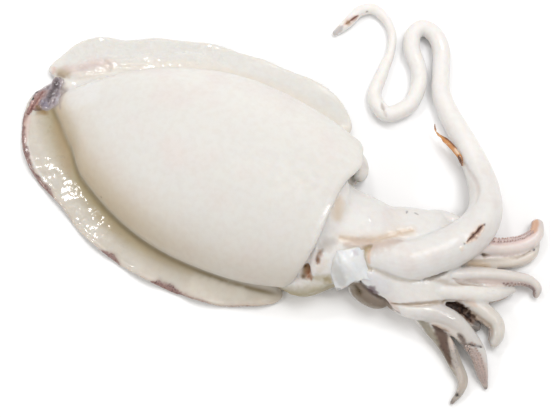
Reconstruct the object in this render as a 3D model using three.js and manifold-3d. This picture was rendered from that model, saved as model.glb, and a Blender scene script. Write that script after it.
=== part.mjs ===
// A whole raw cuttlefish that lies on its back, in millimetres with +Z up.
// The origin is on the table, under the middle of the mantle. +X runs from the mantle's tip to the arms,
// +Y is the far side, where the long tentacle curls, and -Y is the near side.
// The animal is one grown-together body, so its forms are made one by one and then joined into one solid.
import * as THREE from 'three';
import { mergeVertices } from 'three/addons/utils/BufferGeometryUtils.js';
import Module from 'manifold-3d';

const wasm = await Module();
wasm.setup();

// ---- Mantle: a domed bag, widest towards its open rim ----
const mantleLength = 170;
const tipX = -86;
const rimX = tipX + mantleLength;
const mantleHalfWidth = 52.8;
const farFullness = { tip: 2.6, rim: 5 }; // how much wider the far half is, as it lies rolled over
const mantleTop = 46; // highest point of the dome over the table
const rimTop = 39;
const widestShare = 0.616; // how far along the mantle it is widest
const widthRounding = 0.7; // under 1 gives the tip a blunter outline
const heightRounding = 0.8;
const rimNarrowing = 0.2; // what the width loses between the widest place and the rim
const narrowingPower = 2.2; // most of it near the rim
const tipRounding = 0.16; // the share of the length over which the tip's underside fills out
const tipLift = 7; // the tip's point over the table
const sideLift = 13; // the widest level of the section over the table
const flattening = 2; // how far the belly would sink if the table didn't flatten it
const mantleSides = 40;
const mantleRings = 24;
const ringEvenness = 0.6; // 1 spaces the rings evenly, 0 crowds them at the tip

// ---- Rim of the mantle: a soft lip, open round the neck ----
const wallShare = 0.87; // inner wall of the lip, as a share of the section
const lipRounding = 3;
const recessDepth = 13;
const lipSection = [ // across the wall, from 1 outside to 0 inside and on inwards, and how far behind the rim
  [0.8, 0.9], [0.5, 0], [0.15, 1.2], [0, 4.5], [-0.23, 10.4], [-0.92, recessDepth],
];
const farCorner = { y: 31, reach: 4.5, spread: 10 }; // the lip bulges at its far corner
const nearCorner = { y: -46, reach: -5, spread: 14 }; // and draws back at its near one

// ---- Fins: one soft skirt round the mantle, seen from above ----
const finOutline = [
  [-99.5, 3], [-100, -5], [-98, -16], [-92, -28], [-83, -37.5], [-73, -44], [-56, -51], [-39, -60],
  [-10, -67.5], [18, -69], [45, -66], [59, -60.5], [70, -55], [77, -47],
  [64, -30], [54, 0], [60, 34], // hidden in the mantle, behind its rim
  [73, 56], [67, 65], [58, 71.5], [45, 74.5], [26, 75], [-20, 71], [-52, 60.5], [-68, 52.5], [-80, 48.5],
  [-91, 40], [-96, 28], [-98.5, 18], [-92.5, 14.5], [-96, 8.5],
];
const finRootShare = 0.62; // where the skirt starts, inside the mantle, as a share of the outline
const finRootLift = 8;
const finEdgeLift = 2.6;
const finRootThickness = 6;
const finEdgeThickness = 2.6;
const ripple = { height: 1.1, waves: 17 }; // the edge lies in small waves
const finStations = 98;
const finSteps = 4;

// ---- Head, neck and arms: bent limbs, as a path and half width by half height at each of its points ----
const head = {
  path: [[58, -4, 15], [84, -6, 16], [100, -4, 16], [114, -3.5, 15], [128, -1, 14], [142, 0.5, 12], [156, 4, 9]],
  girth: [[30, 14], [30, 15], [26, 14.5], [25.2, 13], [28, 12.5], [31, 11], [22, 7]],
  sides: 26,
  rings: 11,
};
const collar = {
  path: [[62, -32, 9], [76, -37, 9.5], [86, -36.5, 10], [94, -27, 12], [102, -20, 13]],
  girth: [[6, 6], [7, 8], [6.5, 8], [8, 9], [8, 8]],
  sides: 12,
  rings: 8,
};
const funnel = {
  path: [[90, -4, 23], [97, -13, 25.5], [102, -22, 23], [104, -30, 15]],
  girth: [[9, 4], [9.5, 5.5], [8.5, 6], [4.5, 5]],
  sides: 12,
  rings: 7,
};
const eye = {
  path: [[107, -21, 10], [118, -22, 10], [131, -22, 10]],
  girth: [[7, 7], [8.6, 8.6], [7, 7]],
  sides: 10,
  rings: 4,
};
// The thick root of the tentacle lies over the head, then runs out and curls on the table to its club.
const tentacle = {
  path: [
    [107, -10, 19], [119, -7, 20], [132, -4, 20], [145, 8, 19], [155, 22, 17], [159, 36, 15], [155, 50, 12],
    [142, 67, 8], [130, 78, 6.5], [118, 88, 5.6], [110, 97, 5.2], [105, 109, 5], [100, 121, 5], [93, 128, 5],
    [85, 129, 4.8], [82, 123, 4.8], [85, 114, 4.8], [93, 105, 4.7], [97, 95, 4.7], [96, 82, 4.6], [87, 73, 4.6],
    [77, 79, 4.2], [75, 95, 3.6], [74, 110, 3], [70, 120, 3], [62, 127, 3], [54, 128.5, 3.2], [48, 124, 3.2],
    [45, 116, 3], [40, 105, 2],
  ],
  girth: [
    [9, 9], [11.5, 12], [12, 13.5], [11.5, 14], [11, 13], [10, 11.5], [8.6, 9.6],
    [7.2, 7.8], [6.3, 6.5], [5.8, 5.8], [5.3, 5.4], [5, 5.1], [5, 5.1], [4.8, 5.1],
    [4.7, 4.9], [4.7, 4.9], [4.8, 4.9], [4.6, 4.8], [4.5, 4.8], [4.6, 4.7], [4.6, 4.7],
    [4.1, 4.3], [3.5, 3.7], [2.5, 3], [2.4, 3], [2.8, 3], [3.1, 3.2], [3.2, 3.2],
    [3.1, 3], [1.5, 1.8],
  ],
  sides: 10,
  rings: 84,
};
const skinStrip = { // a sliver of torn skin on the tentacle's root
  path: [[112.5, 78.5, 8.5], [117, 73, 8.5], [124, 71, 8.5], [131, 68, 9.5], [139, 60, 11]],
  girth: [[0.9, 0.9], [1.4, 1.3], [1.8, 1.6], [2.2, 2], [2.5, 2.2]],
  sides: 8,
  rings: 8,
};
const arms = [
  {
    path: [[138, 8, 13], [152, 14, 12], [164, 22, 10], [176, 28, 8], [185, 35, 6.5], [189, 43, 5.5], [186.5, 51, 4.5]],
    girth: [[7, 7], [5.6, 6], [5, 5.4], [4.8, 5], [4.6, 4.6], [4.3, 4.4], [3.2, 3.4]],
  },
  {
    path: [[136, 4, 8], [151, 9, 7], [163, 13, 6], [176, 19, 5], [186, 25, 4.2], [191.5, 32, 3.6], [191, 41, 3]],
    girth: [[6, 6], [4.6, 5], [3.8, 4.2], [3.4, 3.8], [3.2, 3.4], [2.9, 3], [2, 2.2]],
  },
  {
    path: [[138, -7, 13], [153, -1, 12], [170, 8, 9.5], [185, 14, 7], [196, 17, 5], [201.5, 15, 4], [202, 10, 3]],
    girth: [[6.5, 7], [5, 5.4], [4, 4.4], [3.7, 4], [3, 3.2], [2.4, 2.5], [1.4, 1.5]],
  },
  {
    path: [[122, -19, 14], [133, -18, 14.5], [145, -14, 14], [158, -8, 12], [174, -2, 9], [183, 3, 7], [191, 9.5, 5]],
    girth: [[7, 8], [6.5, 8], [6.2, 7], [6.2, 6], [5.2, 5], [3.6, 3.8], [1.2, 1.5]],
  },
  {
    path: [[146, -9, 8], [160, -9, 8], [172, -8.5, 7], [181, -10, 6.4], [188, -12.5, 5.6], [191, -18, 5], [190.5, -25, 4]],
    girth: [[6, 6], [5, 5.6], [5, 5], [5.2, 4.8], [4.4, 4.3], [3.8, 3.8], [2.4, 2.8]],
  },
  {
    path: [[126, -22, 10], [141, -25, 12], [153, -23, 12], [165, -22.5, 11], [175, -26, 9], [184, -31, 6],
      [191.5, -39, 3.8], [197, -47, 1.8]],
    girth: [[6, 7], [6, 6.8], [6.4, 6.4], [6, 5.8], [5, 5], [4.2, 4.1], [2.8, 2.8], [0.9, 1.1]],
  },
  {
    path: [[128, -20, 6], [143, -22, 6], [158, -28.5, 6], [168, -34, 5.6], [176.5, -41.5, 4.6], [183.5, -48, 3.6],
      [184.5, -54, 2.8], [182.5, -62, 1.8]],
    girth: [[5.5, 6], [5.5, 6], [5, 5.6], [4.6, 5], [3.6, 4], [2.9, 3.2], [2.1, 2.4], [1, 1.1]],
  },
  {
    path: [[150, -14, 5], [165, -16, 4.6], [174, -18, 4], [181.5, -18.5, 3.2]],
    girth: [[4.6, 4.8], [4, 4.4], [3.4, 3.8], [2, 2.4]],
  },
];
const armSides = 10;
const ringsPerArmPoint = 2;
const capRings = 3; // of a limb's round end

// ---- Slit in the tentacle's root, and the table that flattens what lies on it ----
const slit = {
  path: [[161, 30, 29], [158.5, 24, 30], [156, 16.5, 31]],
  girth: [[0.8, 3], [1.5, 5], [0.7, 3]],
  sides: 8,
  rings: 5,
};
const tableDepth = 20;
const tableWidth = 500;

const weldDistance = 1e-4;
const up = new THREE.Vector3(0, 0, 1);
const { lerp, smoothstep } = THREE.MathUtils;

// A closed surface as a solid: shared corners are merged, and faces that collapsed at a pole are dropped.
function solidOf(surface) {
  surface.deleteAttribute('normal');
  surface.deleteAttribute('uv');
  const merged = mergeVertices(surface, weldDistance);
  const corners = merged.index.array;
  const kept = [];
  for (let i = 0; i < corners.length; i += 3) {
    const [a, b, c] = corners.subarray(i, i + 3);
    if (a !== b && b !== c && c !== a) kept.push(a, b, c);
  }
  const vertProperties = merged.attributes.position.array;
  return new wasm.Manifold(new wasm.Mesh({ numProp: 3, vertProperties, triVerts: new Uint32Array(kept) }));
}

// Turns a profile of (share, along) points round its axis, then puts each corner where place says.
function turned(profile, sides, place) {
  const surface = new THREE.LatheGeometry(profile, sides);
  const corners = surface.attributes.position;
  for (let i = 0; i < corners.count; i += 1) {
    const across = corners.getX(i);
    const level = corners.getZ(i);
    const spot = place(Math.hypot(across, level), Math.atan2(across, level), corners.getY(i));
    corners.setXYZ(i, spot.x, spot.y, spot.z);
  }
  return solidOf(surface);
}

// A bell-shaped hump of the given reach, centred on one place of the rim.
function hump(corner, y) {
  return corner.reach * Math.exp(-(((y - corner.y) / corner.spread) ** 2));
}

// Half width of the mantle at a share of its length.
function mantleWidthAt(share) {
  if (share < widestShare) {
    return mantleHalfWidth * Math.sin((Math.PI / 2) * (share / widestShare)) ** widthRounding;
  }
  const past = (share - widestShare) / (1 - widestShare);
  return mantleHalfWidth * (1 - rimNarrowing * past ** narrowingPower);
}

// Height of the dome over the table at a share of the mantle's length.
function mantleTopAt(share) {
  if (share < widestShare) {
    const rise = Math.sin((Math.PI / 2) * (share / widestShare)) ** heightRounding;
    return lerp(tipLift, mantleTop, rise);
  }
  return lerp(mantleTop, rimTop, ((share - widestShare) / (1 - widestShare)) ** 2);
}

// A point of the mantle's section: angle 0 is the top of the dome.
function onMantle(share, angle, along) {
  const length = THREE.MathUtils.clamp((along - tipX) / mantleLength, 0, 1);
  const fullness = Math.sqrt(1 - (1 - Math.min(length / tipRounding, 1)) ** 2);
  const side = lerp(tipLift, sideLift, Math.min(length / widestShare, 1));
  const farther = angle < 0 ? lerp(farFullness.tip, farFullness.rim, length) * fullness : 0;
  const y = -(mantleWidthAt(length) + farther) * share * Math.sin(angle);
  const lift = Math.cos(angle) > 0 ? mantleTopAt(length) - side : (side + flattening) * fullness;
  const pull = smoothstep(along, rimX / 2, rimX);
  const x = along + pull * (hump(farCorner, y) + hump(nearCorner, y));
  return new THREE.Vector3(x, y, side + lift * share * Math.cos(angle));
}

function mantleSolid() {
  const profile = [new THREE.Vector2(0, tipX)];
  for (let ring = 1; ring <= mantleRings; ring += 1) {
    const share = 1 - Math.cos((Math.PI / 2) * (ring / mantleRings));
    const even = ring / mantleRings;
    profile.push(new THREE.Vector2(1, lerp(tipX, rimX - lipRounding, lerp(share, even, ringEvenness))));
  }
  for (const [across, behind] of lipSection) {
    profile.push(new THREE.Vector2(lerp(wallShare, 1, across), rimX - behind));
  }
  profile.push(new THREE.Vector2(0, rimX - recessDepth));
  return turned(profile, mantleSides, onMantle);
}

// The fins' skirt: a thin closed section, root to edge and back, carried round the outline.
function finSolid() {
  const edge = new THREE.CatmullRomCurve3(finOutline.map(([x, y]) => new THREE.Vector3(x, y, 0)), true);
  const profile = [];
  for (let step = 0; step <= finSteps; step += 1) profile.push(new THREE.Vector2(1 + step / finSteps, -1));
  for (let step = finSteps; step >= 0; step -= 1) profile.push(new THREE.Vector2(1 + step / finSteps, 1));
  profile.push(profile[0].clone());
  return turned(profile, finStations, (radius, angle, side) => {
    const outward = radius - 1;
    const around = THREE.MathUtils.euclideanModulo(angle / (2 * Math.PI), 1);
    const spot = edge.getPointAt(around).multiplyScalar(lerp(finRootShare, 1, outward));
    const wave = ripple.height * Math.sin(2 * Math.PI * ripple.waves * around) * outward ** 3;
    const thickness = lerp(finRootThickness, finEdgeThickness, outward);
    spot.z = lerp(finRootLift, finEdgeLift, smoothstep(outward, 0.3, 1)) + wave + (side * thickness) / 2;
    return spot;
  });
}

// A soft limb: an oval section that follows the path, with round ends.
function limbSolid({ path, girth, sides, rings }) {
  const line = new THREE.CatmullRomCurve3(path.map((point) => new THREE.Vector3(...point)));
  const size = new THREE.CatmullRomCurve3(girth.map(([wide, high]) => new THREE.Vector3(wide, high, 0)));
  const length = line.getLength();
  const startCap = girth[0][1] / length;
  const endCap = girth[girth.length - 1][1] / length;
  const profile = [];
  for (let ring = 0; ring < capRings; ring += 1) {
    const turn = (Math.PI / 2) * (ring / capRings);
    profile.push(new THREE.Vector2(Math.sin(turn), startCap * (1 - Math.cos(turn))));
  }
  for (let ring = 0; ring <= rings; ring += 1) {
    profile.push(new THREE.Vector2(1, lerp(startCap, 1 - endCap, ring / rings)));
  }
  for (let ring = capRings - 1; ring >= 0; ring -= 1) {
    const turn = (Math.PI / 2) * (ring / capRings);
    profile.push(new THREE.Vector2(Math.sin(turn), 1 - endCap * (1 - Math.cos(turn))));
  }
  return turned(profile, sides, (share, angle, along) => {
    const forward = line.getTangent(along);
    const sideways = new THREE.Vector3().crossVectors(forward, up).normalize();
    const upward = new THREE.Vector3().crossVectors(sideways, forward);
    const { x: wide, y: high } = size.getPoint(along);
    return line.getPoint(along)
      .addScaledVector(sideways, share * wide * Math.sin(angle))
      .addScaledVector(upward, share * high * Math.cos(angle));
  });
}

// What the table presses flat: all that would lie lower than it.
function tableSolid() {
  const block = new THREE.BoxGeometry(tableWidth, tableWidth, tableDepth);
  block.translate(0, 0, -tableDepth / 2);
  return solidOf(block);
}

function cuttlefishSolid() {
  const limbs = [head, collar, funnel, eye, tentacle, skinStrip];
  for (const arm of arms) {
    limbs.push({ ...arm, sides: armSides, rings: (arm.path.length - 1) * ringsPerArmPoint });
  }
  let body = mantleSolid().add(finSolid());
  for (const limb of limbs) body = body.add(limbSolid(limb));
  return body.subtract(limbSolid(slit)).subtract(tableSolid());
}

function meshOf(name, solid, material) {
  const faces = solid.getMesh();
  const geometry = new THREE.BufferGeometry();
  geometry.setAttribute('position', new THREE.BufferAttribute(faces.vertProperties, 3));
  geometry.setIndex(new THREE.BufferAttribute(faces.triVerts, 1));
  geometry.computeVertexNormals();
  const mesh = new THREE.Mesh(geometry, material);
  mesh.name = name;
  return mesh;
}

const wetFlesh = new THREE.MeshStandardMaterial({ color: 0xece8e3, roughness: 0.35, metalness: 0 });
const group = new THREE.Group();
group.add(meshOf('cuttlefish', cuttlefishSolid(), wetFlesh));

export default group;
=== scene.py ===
import math
import random

import bpy
import bmesh
import numpy as np
from mathutils import Matrix, Vector, noise
from mathutils.bvhtree import BVHTree


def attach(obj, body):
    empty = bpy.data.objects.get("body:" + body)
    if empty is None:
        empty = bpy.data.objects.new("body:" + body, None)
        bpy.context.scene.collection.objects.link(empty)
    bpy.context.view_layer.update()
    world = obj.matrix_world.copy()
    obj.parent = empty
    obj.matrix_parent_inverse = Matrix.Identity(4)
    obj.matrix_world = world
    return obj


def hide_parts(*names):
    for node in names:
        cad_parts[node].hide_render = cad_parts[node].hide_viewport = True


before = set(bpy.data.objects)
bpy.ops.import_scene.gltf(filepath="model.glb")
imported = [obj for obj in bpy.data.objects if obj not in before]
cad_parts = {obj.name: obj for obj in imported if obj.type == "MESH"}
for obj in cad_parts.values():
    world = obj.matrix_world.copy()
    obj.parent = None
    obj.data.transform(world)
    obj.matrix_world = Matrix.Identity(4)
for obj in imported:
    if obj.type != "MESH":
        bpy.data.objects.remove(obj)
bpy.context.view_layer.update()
mm = 0.001  # shapes are worked out in millimetres and brought to metres at the end


# ---- small helpers ----

def linearColour(hexColour):
    # sRGB hex to the linear colour that the shader wants
    parts = [int(hexColour[i:i + 2], 16) / 255 for i in (1, 3, 5)]
    return tuple(p / 12.92 if p < 0.04045 else ((p + 0.055) / 1.055) ** 2.4 for p in parts) + (1.0,)


def lerp(a, b, share):
    return a + (b - a) * share


def easeStep(values, low, high):
    share = np.clip((values - low) / (high - low), 0, 1)
    return share * share * (3 - 2 * share)


def smoothLine(points, shares):
    # a smooth line through given points, read at shares from 0 to 1
    points = np.array(points, float)
    line = np.vstack([2 * points[0] - points[1], points, 2 * points[-1] - points[-2]])
    at = np.clip(shares, 0, 1) * (len(points) - 1)
    start = np.minimum(at.astype(int), len(points) - 2)
    p0, p1, p2, p3 = (line[start + k] for k in range(4))
    gaps = [np.linalg.norm(b - a, axis=1)[:, None] ** 0.5 + 1e-9 for a, b in ((p0, p1), (p1, p2), (p2, p3))]
    d0, d1, d2 = gaps
    t1 = ((p1 - p0) / d0 - (p2 - p0) / (d0 + d1) + (p2 - p1) / d1) * d1
    t2 = ((p2 - p1) / d1 - (p3 - p1) / (d1 + d2) + (p3 - p2) / d2) * d1
    w = (at - start)[:, None]
    return p1 + t1 * w + (3 * (p2 - p1) - 2 * t1 - t2) * w ** 2 + (2 * (p1 - p2) + t1 + t2) * w ** 3


def placeVerts(verts, points):
    for vert, point in zip(verts, points):
        vert.co = point


def vertPoints(verts):
    return np.array([vert.co[:] for vert in verts])


def newPiece(bm, name):
    mesh = bpy.data.meshes.new(name)
    bmesh.ops.recalc_face_normals(bm, faces=bm.faces)
    bm.to_mesh(mesh)
    bm.free()
    piece = bpy.data.objects.new(name, mesh)
    bpy.context.scene.collection.objects.link(piece)
    return piece


def addModifier(piece, kind, **settings):
    modifier = piece.modifiers.new(kind.lower(), kind)
    for key, value in settings.items():
        setattr(modifier, key, value)


def applyModifiers(piece):
    evaluated = piece.evaluated_get(bpy.context.evaluated_depsgraph_get())
    mesh = bpy.data.meshes.new_from_object(evaluated)
    piece.modifiers.clear()
    piece.data = mesh


def growTogether(piece, voxelSize, rounds):
    # one smooth skin over shapes that overlap
    addModifier(piece, "REMESH", mode="VOXEL", voxel_size=voxelSize, use_smooth_shade=True)
    addModifier(piece, "SMOOTH", factor=0.5, iterations=rounds)
    applyModifiers(piece)


def meshArray(collection, field, width):
    values = np.zeros(len(collection) * width)
    collection.foreach_get(field, values)
    return values.reshape(-1, width)


def pointsOf(piece):
    return meshArray(piece.data.vertices, "co", 3)


def normalsOf(piece):
    return meshArray(piece.data.vertices, "normal", 3)


def setPoints(piece, points):
    piece.data.vertices.foreach_set("co", points.astype(np.float32).ravel())
    piece.data.update()


def setMask(piece, name, values):
    layer = piece.data.attributes.new(name, "FLOAT", "POINT")
    layer.data.foreach_set("value", np.clip(values, 0, 1).astype(np.float32))


def grain(points, size, seed, octaves=2):
    # noise between about -1 and 1, with bumps of the given size in mm
    shift = Vector((seed * 17.3, seed * 5.1, seed * 9.7))
    return np.array([noise.fractal(Vector(p) / size + shift, 1.0, 2.0, octaves) for p in points])


def lineNearest(points, line):
    # distance of each point to a line of short straight pieces, and the share of the way where it is nearest
    best, share = np.full(len(points), 1e9), np.zeros(len(points))
    for k, (a, b) in enumerate(zip(line, line[1:])):
        along = np.clip(((points - a) @ (b - a)) / max((b - a) @ (b - a), 1e-9), 0, 1)
        distance = np.linalg.norm(points - a - along[:, None] * (b - a), axis=1)
        share = np.where(distance < best, (k + along) / (len(line) - 1), share)
        best = np.minimum(best, distance)
    return best, share


def stroke(path, width, colour=None, share=0.8, core=0, push=0, skin=0, ink=0, wet=None, uneven=0.35,
           taper=0.65):
    # a soft mark along a given line, full out to the core and gone at the width, in mm. It can tint the surface
    # by a share, push it out by some mm, and set how much skin, ink and wetness lies there
    return dict(path=path, width=width, colour=colour, share=share, core=core, push=push, skin=skin, ink=ink,
                wet=wet, uneven=uneven, taper=taper)


def lineShare(points, mark):
    # 1 on a stroke's line, easing to 0 at its width
    width = mark["width"]
    line = smoothLine(mark["path"], np.linspace(0, 1, 8 * len(mark["path"])))
    reach = width * 1.4
    near = np.all((points > line.min(axis=0) - reach) & (points < line.max(axis=0) + reach), axis=1)
    distance, along = lineNearest(points[near], line)
    thin = 1 - mark["taper"] * np.abs(2 * along - 1) ** 3
    uneven = 1 + mark["uneven"] * grain(points[near], 2.6, 13)
    share = np.zeros(len(points))
    share[near] = 1 - easeStep(distance / (thin * uneven), mark["core"], width)
    return share


def spread(piece, values, rounds):
    # lets a value run out over the neighbouring points
    edges = meshArray(piece.data.edges, "vertices", 2).astype(int)
    count = len(values)
    neighbours = np.bincount(edges.ravel(), minlength=count)
    for _ in range(rounds):
        total = np.bincount(edges[:, 0], values[edges[:, 1]], count)
        total += np.bincount(edges[:, 1], values[edges[:, 0]], count)
        values = 0.5 * values + 0.5 * total / np.maximum(neighbours, 1)
    return values


def softPoints(piece, rounds):
    points = pointsOf(piece)
    return points, np.stack([spread(piece, points[:, k], rounds) for k in range(3)], axis=1)


def soften(piece, mark, rounds):
    # smooths the surface along a stroke, which fills narrow valleys
    points, soft = softPoints(piece, rounds)
    setPoints(piece, lerp(points, soft, lineShare(points, mark)[:, None]))


def hollowness(piece, rounds):
    # over 0 in creases and under 0 on ridges, in mm
    points, soft = softPoints(piece, rounds)
    return np.einsum("ij,ij->i", soft - points, normalsOf(piece))


def carve(piece, marks):
    # pushes the surface in (under 0) or out along each stroke, and returns where it lay before
    rest = pointsOf(piece)
    for mark in marks:
        if mark["push"]:
            push = mark["push"] * lineShare(rest, mark)
            setPoints(piece, pointsOf(piece) + normalsOf(piece) * push[:, None])
    return rest


def tint(tone, hexColour, share):
    return lerp(tone, np.array(linearColour(hexColour)[:3]), np.clip(share, 0, 1)[:, None])


def tintAll(tone, layers):
    for hexColour, share in layers:
        tone = tint(tone, hexColour, share)
    return tone


def plainTone(piece, hexColour):
    return np.tile(np.array(linearColour(hexColour)[:3]), (len(piece.data.vertices), 1))


fleshShade = 0.85  # raw flesh is a little darker than the white paper under it


def paint(piece, tone, wet, marks, rest=None, skin=0.0):
    # soft colours, painted shade and highlights among them, go into "tone"; skin, ink and wet are masks that
    # the material breaks up
    points = pointsOf(piece) if rest is None else rest
    skin, ink, wet = (np.zeros(len(points)) + value for value in (skin, 0, wet))
    for mark in marks:
        share = lineShare(points, mark)
        if mark["colour"]:
            tone = tint(tone, mark["colour"], share * mark["share"])
        if mark["wet"] is not None:
            wet = lerp(wet, mark["wet"], share)
        skin = np.maximum(skin, share * mark["skin"])
        ink = np.maximum(ink, share * mark["ink"])
    layer = piece.data.color_attributes.new("tone", "FLOAT_COLOR", "POINT")
    colours = np.column_stack([tone * fleshShade, np.ones(len(tone))])
    layer.data.foreach_set("color", colours.astype(np.float32).ravel())
    for name, values in (("skin", skin), ("ink", ink), ("wet", wet)):
        setMask(piece, name, values)


# ---- camera, floor and light ----

view = {
    "camera": (134.711, -182.415, 739.166),  # mm
    "azimuth": 24.5,
    "elevation": 75,
    "lens": 90,
    "floorSize": 6000,  # mm
    "floorColour": "#FAFBFD",
    "air": 0.6,  # strength of the even surroundings
    "airColour": "#FFFBF5",
}
lamps = {  # where from and how wide in mm, power in watts
    "key": ((420, 900, 2150), 1250, 21),
    # small lamps for the wet highlights: on the far fin, on the near fin and on the arms
    "spark": ((-500, 530, 1000), 190, 2),
    "glint": ((-740, -570, 830), 210, 2.4),
    "gleam": ((600, 110, 1100), 110, 0.8),
}


def addStage():
    camera = bpy.data.objects.new("camera", bpy.data.cameras.new("camera"))
    bpy.context.scene.collection.objects.link(camera)
    camera.data.lens = view["lens"]
    camera.data.clip_start = 0.05
    azimuth, elevation = math.radians(view["azimuth"]), math.radians(view["elevation"])
    level = math.cos(elevation)
    back = Vector((math.sin(azimuth) * level, -math.cos(azimuth) * level, math.sin(elevation)))
    camera.location = Vector(view["camera"]) * mm
    camera.rotation_euler = (-back).to_track_quat("-Z", "Y").to_euler()
    bpy.context.scene.camera = camera

    bm = bmesh.new()
    bmesh.ops.create_grid(bm, x_segments=1, y_segments=1, size=view["floorSize"] * mm / 2)
    floor = newPiece(bm, "floor")
    paper = bpy.data.materials.new("mattePaper")
    paper.use_nodes = True
    shader = paper.node_tree.nodes["Principled BSDF"]
    shader.inputs["Base Color"].default_value = linearColour(view["floorColour"])
    shader.inputs["Roughness"].default_value = 0.9
    shader.inputs["Specular IOR Level"].default_value = 0.1
    floor.data.materials.append(paper)

    for name, (place, size, power) in lamps.items():
        light = bpy.data.objects.new(name, bpy.data.lights.new(name, "AREA"))
        bpy.context.scene.collection.objects.link(light)
        light.data.shape = "DISK"
        light.data.size = size * mm
        light.data.energy = power
        light.location = Vector(place) * mm
        light.rotation_euler = (-light.location).to_track_quat("-Z", "Y").to_euler()

    world = bpy.data.worlds.new("air")
    world.use_nodes = True
    background = world.node_tree.nodes["Background"].inputs
    background["Strength"].default_value = view["air"]
    background["Color"].default_value = linearColour(view["airColour"])
    bpy.context.scene.world = world
    bpy.context.scene.view_settings.view_transform = "Standard"


addStage()
print("stage ready")


# ---- limbs: bent ovals that follow a given line ----

def limbFrame(path, girth, along):
    # middle, sideways, upward, half width and half height at each share of the way
    step = 1e-4
    middle = smoothLine(path, along)
    forward = smoothLine(path, along + step) - smoothLine(path, along - step)
    forward /= np.linalg.norm(forward, axis=1)[:, None]
    sideways = np.cross(forward, (0.0, 0.0, 1.0))
    sideways /= np.linalg.norm(sideways, axis=1)[:, None]
    upward = np.cross(sideways, forward)
    size = smoothLine(girth, along)
    return middle, sideways, upward, size[:, :1], size[:, 1:2]


def lineLength(path):
    return np.linalg.norm(np.diff(smoothLine(path, np.linspace(0, 1, 200)), axis=0), axis=1).sum()


def addLimb(bm, path, girth, sides=24, step=1.5, section=None):
    # a ball drawn out along the line, with round ends
    length = lineLength(path)
    rings = max(12, int(length / step))
    verts = bmesh.ops.create_uvsphere(bm, u_segments=sides, v_segments=rings, radius=1)["verts"]
    ball = vertPoints(verts)
    even = np.arccos(np.clip(ball[:, 2], -1, 1)) / math.pi
    along = even - 0.85 * np.sin(2 * math.pi * even) / (2 * math.pi)  # closer rings at the ends
    angle = np.arctan2(ball[:, 0], ball[:, 1])
    startCap, endCap = girth[0][1] / length, girth[-1][1] / length
    share = np.sqrt(1 - (1 - np.minimum(along / startCap, 1)) ** 2)
    share *= np.sqrt(1 - (1 - np.minimum((1 - along) / endCap, 1)) ** 2)
    if section:
        share *= section(along, angle)
    middle, sideways, upward, wide, high = limbFrame(path, girth, along)
    sine, cosine = np.sin(angle)[:, None], np.cos(angle)[:, None]
    placeVerts(verts, middle + share[:, None] * (sideways * wide * sine + upward * high * cosine))


# ---- mantle and fins ----

mantle = {
    "length": 170,
    "tipX": -86,
    "halfWidth": 52.8,
    "farFullness": (2.6, 5),  # how much wider the far half is, at the tip and at the rim
    "top": 46,
    "rimTop": 39,
    "widestShare": 0.616,
    "widthRounding": 0.7,
    "heightRounding": 0.8,
    "rimNarrowing": 0.2,
    "narrowingPower": 2.2,  # most of it near the rim
    "tipRounding": 0.16,  # the share of the length over which the tip fills out
    "tipLift": 7,
    "sideLift": 13,
    "flattening": 2,
    "farCorner": (31, 4.5, 10),  # place, reach and spread of the rim's bulge at its far corner
    "nearCorner": (-46, -5, 14),
    "lip": 3,
    # lip and inner wall: share of the ball's turn, share of the section, mm behind the rim
    "lipSection": [(0.73, 0.974, 0.9), (0.75, 0.935, 0), (0.77, 0.8895, 1.2), (0.8, 0.87, 4.5),
                   (0.86, 0.84, 10.4), (0.9, 0.75, 13), (1, 0, 13)],
    "ringEvenness": 0.6,  # 1 spaces the rings evenly, 0 crowds them at the tip
    "sides": 150,
    "rings": 150,
}
mantle["rimX"] = mantle["tipX"] + mantle["length"]


def mantleRise(share, rounding):
    # from 0 at the tip to 1 at the widest place, and how far past that place
    widest = mantle["widestShare"]
    rising = np.sin(math.pi / 2 * np.minimum(share / widest, 1)) ** rounding
    return rising, np.clip((share - widest) / (1 - widest), 0, 1), share < widest


def mantleWidth(share):
    m = mantle
    rising, past, before = mantleRise(share, m["widthRounding"])
    return m["halfWidth"] * np.where(before, rising, 1 - m["rimNarrowing"] * past ** m["narrowingPower"])


def mantleTop(share):
    m = mantle
    rising, past, before = mantleRise(share, m["heightRounding"])
    return np.where(before, lerp(m["tipLift"], m["top"], rising), lerp(m["top"], m["rimTop"], past ** 2))


def tipFullness(share):
    return np.sqrt(1 - (1 - np.minimum(share / mantle["tipRounding"], 1)) ** 2)


def hump(corner, y):
    place, reach, spreadOut = corner
    return reach * np.exp(-((y - place) / spreadOut) ** 2)


def onMantle(share, angle, along):
    m = mantle
    length = np.clip((along - m["tipX"]) / m["length"], 0, 1)
    fullness = tipFullness(length)
    side = lerp(m["tipLift"], m["sideLift"], np.minimum(length / m["widestShare"], 1))
    farther = np.where(angle < 0, lerp(*m["farFullness"], length) * fullness, 0)
    y = -(mantleWidth(length) + farther) * share * np.sin(angle)
    lift = np.where(np.cos(angle) > 0, mantleTop(length) - side, (side + m["flattening"]) * fullness)
    pull = easeStep(along, m["rimX"] / 2, m["rimX"])
    x = along + pull * (hump(m["farCorner"], y) + hump(m["nearCorner"], y))
    return np.stack([x, y, side + lift * share * np.cos(angle)], axis=1)


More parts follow.
